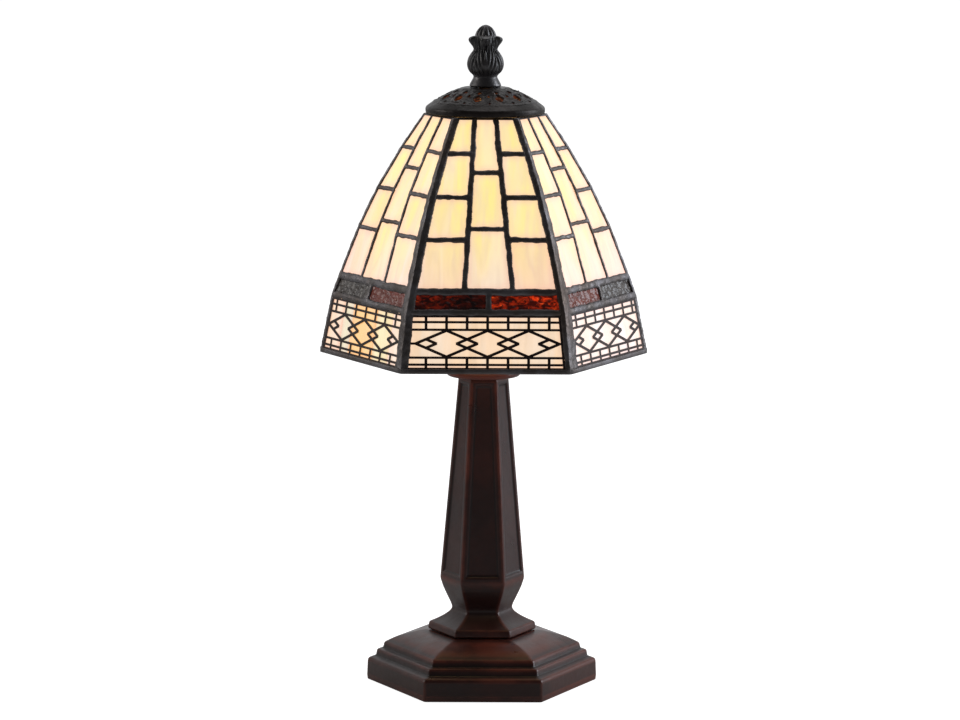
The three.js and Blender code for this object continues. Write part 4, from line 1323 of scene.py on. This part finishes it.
def holder():
    """The lamp holder's cap, and its shell with a hole for the switch."""
    cap_low, cap_high = low("holder_cap"), high("holder_cap")
    outline = [
        (TUBE_HOLE, cap_low, 0.2), (8.6, cap_low, 0.8), (11.6, cap_low + 1.9, 1.2),
        (13.2, cap_low + 4.6, 1.0), (13.4, cap_low + 6.6, 0.3), (14.1, cap_low + 7.2, 0.5),
        (14.1, cap_high, 0.3), (13.1, cap_high, 0.2),
        (12.4, cap_low + 5.4, 1.0), (8.6, cap_low + 1.5, 0.5), (TUBE_HOLE, cap_low + 1.5, 0.2),
    ]
    lathe("holder_cap_shell", rounded(outline, 3), "brass", "stand", ["holder_cap"], 96, closed=True)
    bottom, top, shell, wall = low("holder_shell"), high("holder_shell"), 13.6, 0.8
    outline = [(shell - wall, bottom, 0.1), (shell, bottom, 0.2)]
    for z in (bottom + 14, bottom + 17, bottom + 20):  # three pressed rings
        outline += [(shell, z - 0.9, 0.5), (shell - 0.5, z, 0.5), (shell, z + 0.9, 0.5)]
    outline += [(shell, top - 2.6, 0.5), (14.25, top - 1.7, 0.5), (14.25, top - 0.7, 0.5), (shell, top, 0.3),
                (shell - wall, top, 0.3)]
    tube = lathe_shape(rounded(outline, 3), 96, closed=True)
    hole = along_y(lathe_shape([(0, 8), (2.3, 8), (2.3, 20), (0, 20)], 32), middle("switch_spindle"))
    verts, faces = pierced(tube, hole)
    make("holder_shell_tube", verts, faces, "brass", "stand", ["holder_shell"])


def switch():
    """The switch's spindle, and its knob: a round hub with a ribbed paddle."""
    z = middle("switch_spindle")
    near, far = -high("switch_spindle", 1), -low("switch_spindle", 1)
    near, far = near + 0.05, far - 0.05
    outline = rounded([(0, near, 0), (1.6, near, 0.3), (1.6, far, 0.3), (0, far, 0)], 3)
    verts, faces = along_y(lathe_shape(outline, 32), z)
    make("switch_spindle_rod", verts, faces, "steel", "switch", ["switch_spindle"])
    hub, end = -high("switch_knob", 1), -low("switch_knob", 1)
    outline = rounded([(0, hub, 0), (3.6, hub, 0.4), (3.6, hub + 3.0, 0.5), (0, hub + 4.2, 0)], 3)
    count, half_width, half_thickness = 40, 5.4, 2.1
    parts = [along_y(lathe_shape(outline, count), z)]
    paddle = []
    levels = [(hub + 2.2, 0.72), (hub + 3.6, 0.95), (hub + 6.5, 1.0), (end - 1.6, 0.98), (end - 0.5, 0.85),
              (end - 0.1, 0.6)]
    for distance, scale in levels:
        for t in angles(count):
            grip = 1 - 0.07 * (0.5 + 0.5 * cos(12 * t)) * (scale > 0.9)
            wide, thick = half_width * scale * grip, half_thickness * scale
            paddle.append((wide * cos(t), -distance, z + thick * sin(t)))
    parts.append((paddle, tube_faces(len(levels), count)))
    fused("switch_knob_moulding", parts, 0.3, "phenolic", "switch", ["switch_knob"], 0.0, 0.0, 2)


def lamp():
    """The lamp: its screw cap with a rolled thread, its contact and its glass."""
    bottom, top = low("lamp_cap") + 0.05, high("lamp_cap") - 0.05
    root, crest, pitch = 5.35, 5.9, 2.54
    thread = []
    z = bottom + 1.5
    while z < top - 3.5:
        thread += [(root, z, 0.4), (crest, z + 0.85, 0.5), (root, z + 1.7, 0.4)]
        z += pitch
    outline = [(0, bottom, 0), (4.4, bottom, 0.4), (5.2, bottom + 0.9, 0.4)] + thread
    outline += [(5.85, top, 0.3), (0, top, 0)]
    lathe("lamp_screw_cap", rounded(outline, 3), "brass", "lamp", ["lamp_cap"], 64)
    tip_low, tip_high = low("lamp_tip"), high("lamp_tip")
    outline = [(0, tip_low, 0), (1.6, tip_low, 0.5), (2.6, tip_low + 0.7, 0.4), (4.1, tip_high - 0.1, 0.3),
               (0, tip_high - 0.1, 0)]
    lathe("lamp_tip_contact", rounded(outline, 3), "steel", "lamp_rise_carrier", ["lamp_tip"], 48)
    glass_low, glass_top, radius = low("lamp_glass"), high("lamp_glass"), high("lamp_glass", 0)
    line = spline([
        (6.2, glass_low + 0.1), (6.6, glass_low + 3), (8.6, glass_low + 8), (12.6, glass_low + 15),
        (16.2, glass_low + 22.5), (radius - 0.1, glass_low + 30), (radius - 1.2, glass_low + 42),
        (12.6, glass_low + 56), (7.2, glass_low + 65), (2.4, glass_top - 0.7), (0.0, glass_top - 0.2),
    ], 7)
    lathe("lamp_envelope", [(0, glass_low + 0.1)] + line, "lamp_glass", "lamp", ["lamp_glass"], 72)


def stud():
    """The threaded stud on top of the bracket, with a round shoulder."""
    bottom, top = low("bracket_stud"), high("bracket_stud")
    shoulder, root, crest, pitch = bottom + 1.6, 2.75, 3.12, 0.94
    thread = []
    z = shoulder + 0.8
    while z < top - 1.2:
        thread += [(root, z), (crest, z + pitch / 2)]
        z += pitch
    profile = [(0, bottom), (6.2, bottom), (6.45, bottom + 0.3), (6.45, shoulder - 0.3), (6.2, shoulder),
               (3.1, shoulder)]
    profile += thread + [(3.0, top - 0.7), (2.5, top - 0.05), (0, top - 0.05)]
    lathe("stud_turned", profile, "brass", "stand", ["bracket_stud"], 48)


def spider():
    """The ring and arms in the top of the shade, filed smooth where the arms meet it."""
    bottom, top, outer = low("shade_spider"), high("shade_spider"), high("shade_spider", 0)
    inner, hub, arm, hole = 26.0, 8.0, 2.5, 3.75
    flat = lambda r0, r1: [(r0, bottom + 0.1), (r1, bottom + 0.1), (r1, top - 0.1), (r0, top - 0.1)]
    parts = [lathe_shape(flat(inner, outer - 0.15), 96, closed=True)]
    parts += [lathe_shape(flat(hole, hub), 64, closed=True)]
    corners = [(hub - 1.5, -arm), (inner + 1.5, -arm), (inner + 1.5, arm), (hub - 1.5, arm)]
    bar = [(x, y, z) for z in (bottom + 0.15, top - 0.15) for x, y in corners], tube_faces(2, 4)
    parts += [turned(bar, panel) for panel in (1, 4, 2, 5, 3, 6)]
    fused("spider_casting", parts, 0.32, "brass", "shade", ["shade_spider"], 0.03, 1.0, 2)


def bushing():
    """The cord inlet at the back of the foot."""
    near, far = low("cord_bushing", 1), high("cord_bushing", 1)
    outline = [(2.8, near + 0.05, 0.3), (3.8, near + 0.05, 0.3), (3.8, far - 1.35, 0.0),
               (4.9, far - 1.35, 0.4), (4.8, far - 0.05, 0.6), (2.8, far - 0.05, 0.7)]
    verts, faces = along_y(lathe_shape(rounded(outline, 4), 48, closed=True), middle("cord_bushing"), 1)
    make("bushing_moulding", verts, faces, "phenolic", "stand", ["cord_bushing"])


def felt():
    """The felt under the foot, with a soft edge."""
    top, corner = high("felt_pad"), high("felt_pad", 0)
    outline = [(corner - 0.1, top, 0), (corner, top * 0.55, 0), (corner - 0.5, 0.02, 0), (30, 0.0, 0),
               (1, 0.0, 0), (1, top, 0)]
    columns = [(0.0, 0), (0.5, 0), (2, 0), (6, 0), (12, 0), (20, 0)]
    verts, faces, _ = hexagon_shape(outline, columns)
    make("felt_disc", verts, faces, "felt", "stand", ["felt_pad"], sharp=60)


# ---------------------------------------------------------------- the scene
def backdrop():
    """A wide pale floor that the camera sees as white."""
    mesh = bpy.data.meshes.new("floor")
    reach = 6.0
    corners = [(-reach, -reach, 0), (reach, -reach, 0), (reach, reach, 0), (-reach, reach, 0)]
    mesh.from_pydata(corners, [], [(0, 1, 2, 3)])
    floor = bpy.data.objects.new("floor", mesh)
    bpy.context.scene.collection.objects.link(floor)
    look = Look("pale_floor")
    seen = look.node("LightPath").outputs["Is Camera Ray"]
    glow = look.fit(seen, 0, 1, 0.12, 0.95)
    mesh.materials.append(look.surface(Base_Color=(0.5, 0.5, 0.5, 1.0), Roughness=0.9, Specular_IOR_Level=0.0,
                                       Emission_Color=(1, 1, 1, 1), Emission_Strength=glow))


def softbox(name, place, target, size, power, colour):
    light = bpy.data.lights.new(name, "AREA")
    light.shape, light.size, light.size_y = "RECTANGLE", size[0], size[1]
    light.energy = power
    light.color = colour
    lamp_object = bpy.data.objects.new(name, light)
    lamp_object.location = place
    lamp_object.rotation_euler = (Vector(target) - Vector(place)).to_track_quat("-Z", "Y").to_euler()
    bpy.context.scene.collection.objects.link(lamp_object)


def studio():
    """A world that looks white and lights the lamp mostly from behind, and three soft lights."""
    look = Look("studio", bpy.data.worlds)
    bpy.context.scene.world = look.owner
    seen = look.node("LightPath").outputs["Is Camera Ray"]
    _, backward, _ = look.node("SeparateXYZ", pin0=look.places["Generated"]).outputs
    strength = look.node("MapRange", Value=backward, From_Min=0.34, From_Max=0.88, To_Min=0.09, To_Max=0.88)
    lighting = look.node("Background", Color=(0.97, 0.98, 1.0, 1.0), Strength=strength.outputs[0])
    white = look.node("Background", Color=(1.0, 1.0, 1.0, 1.0), Strength=1.0)
    mix = look.node("MixShader", pin0=seen, pin1=lighting.outputs[0], pin2=white.outputs[0])
    look.node("OutputWorld", pin0=mix.outputs[0])
    target = (0, 0, 0.18)
    softbox("key_right", (1.8, 0.3, 0.8), target, (0.9, 1.4), 26, (0.88, 0.93, 1.0))
    softbox("fill_left", (-1.8, 0.25, 0.95), target, (0.8, 1.2), 11, (1.0, 0.97, 0.94))
    softbox("top", (0.1, 0.5, 1.8), target, (1.2, 1.2), 8, (1, 1, 1))


def camera():
    """The photo's camera, fitted to the lamp: metres, and angles off looking straight at the front."""
    distance, height = 2.131, 0.5078
    yaw, aside, pitch, roll = radians(0.8), radians(0.053), radians(8.788), radians(0.35)
    data = bpy.data.cameras.new("camera")
    data.lens, data.sensor_width = 148.36, 36.0
    data.clip_end = 50
    eye = bpy.data.objects.new("camera", data)
    place = Matrix.Translation((-distance * sin(yaw), -distance * cos(yaw), height))
    aim = Matrix.Rotation(aside - yaw, 4, "Z") @ Matrix.Rotation(pi / 2 - pitch, 4, "X")
    eye.matrix_world = place @ aim @ Matrix.Rotation(roll, 4, "Z")
    bpy.context.scene.collection.objects.link(eye)
    bpy.context.scene.camera = eye


camera()
studio()
backdrop()
foot()
stem()
stem_disc()
felt()
bushing()
bracket()
saddle()
stud()
hex_nut("saddle_nut_cut", "saddle_nut", 14, 5.1, "brass")
holder()
switch()
lamp()
for number in range(1, SIDES + 1):
    opal_pieces(number)
    amber_pieces(number)
    frieze_piece(number)
    solder_beads(number)
    filigree(number)
corner_seams()
top_band()
rim_came()
spider()
vented_cap()
finial()

bpy.context.scene.view_settings.view_transform = "Standard"
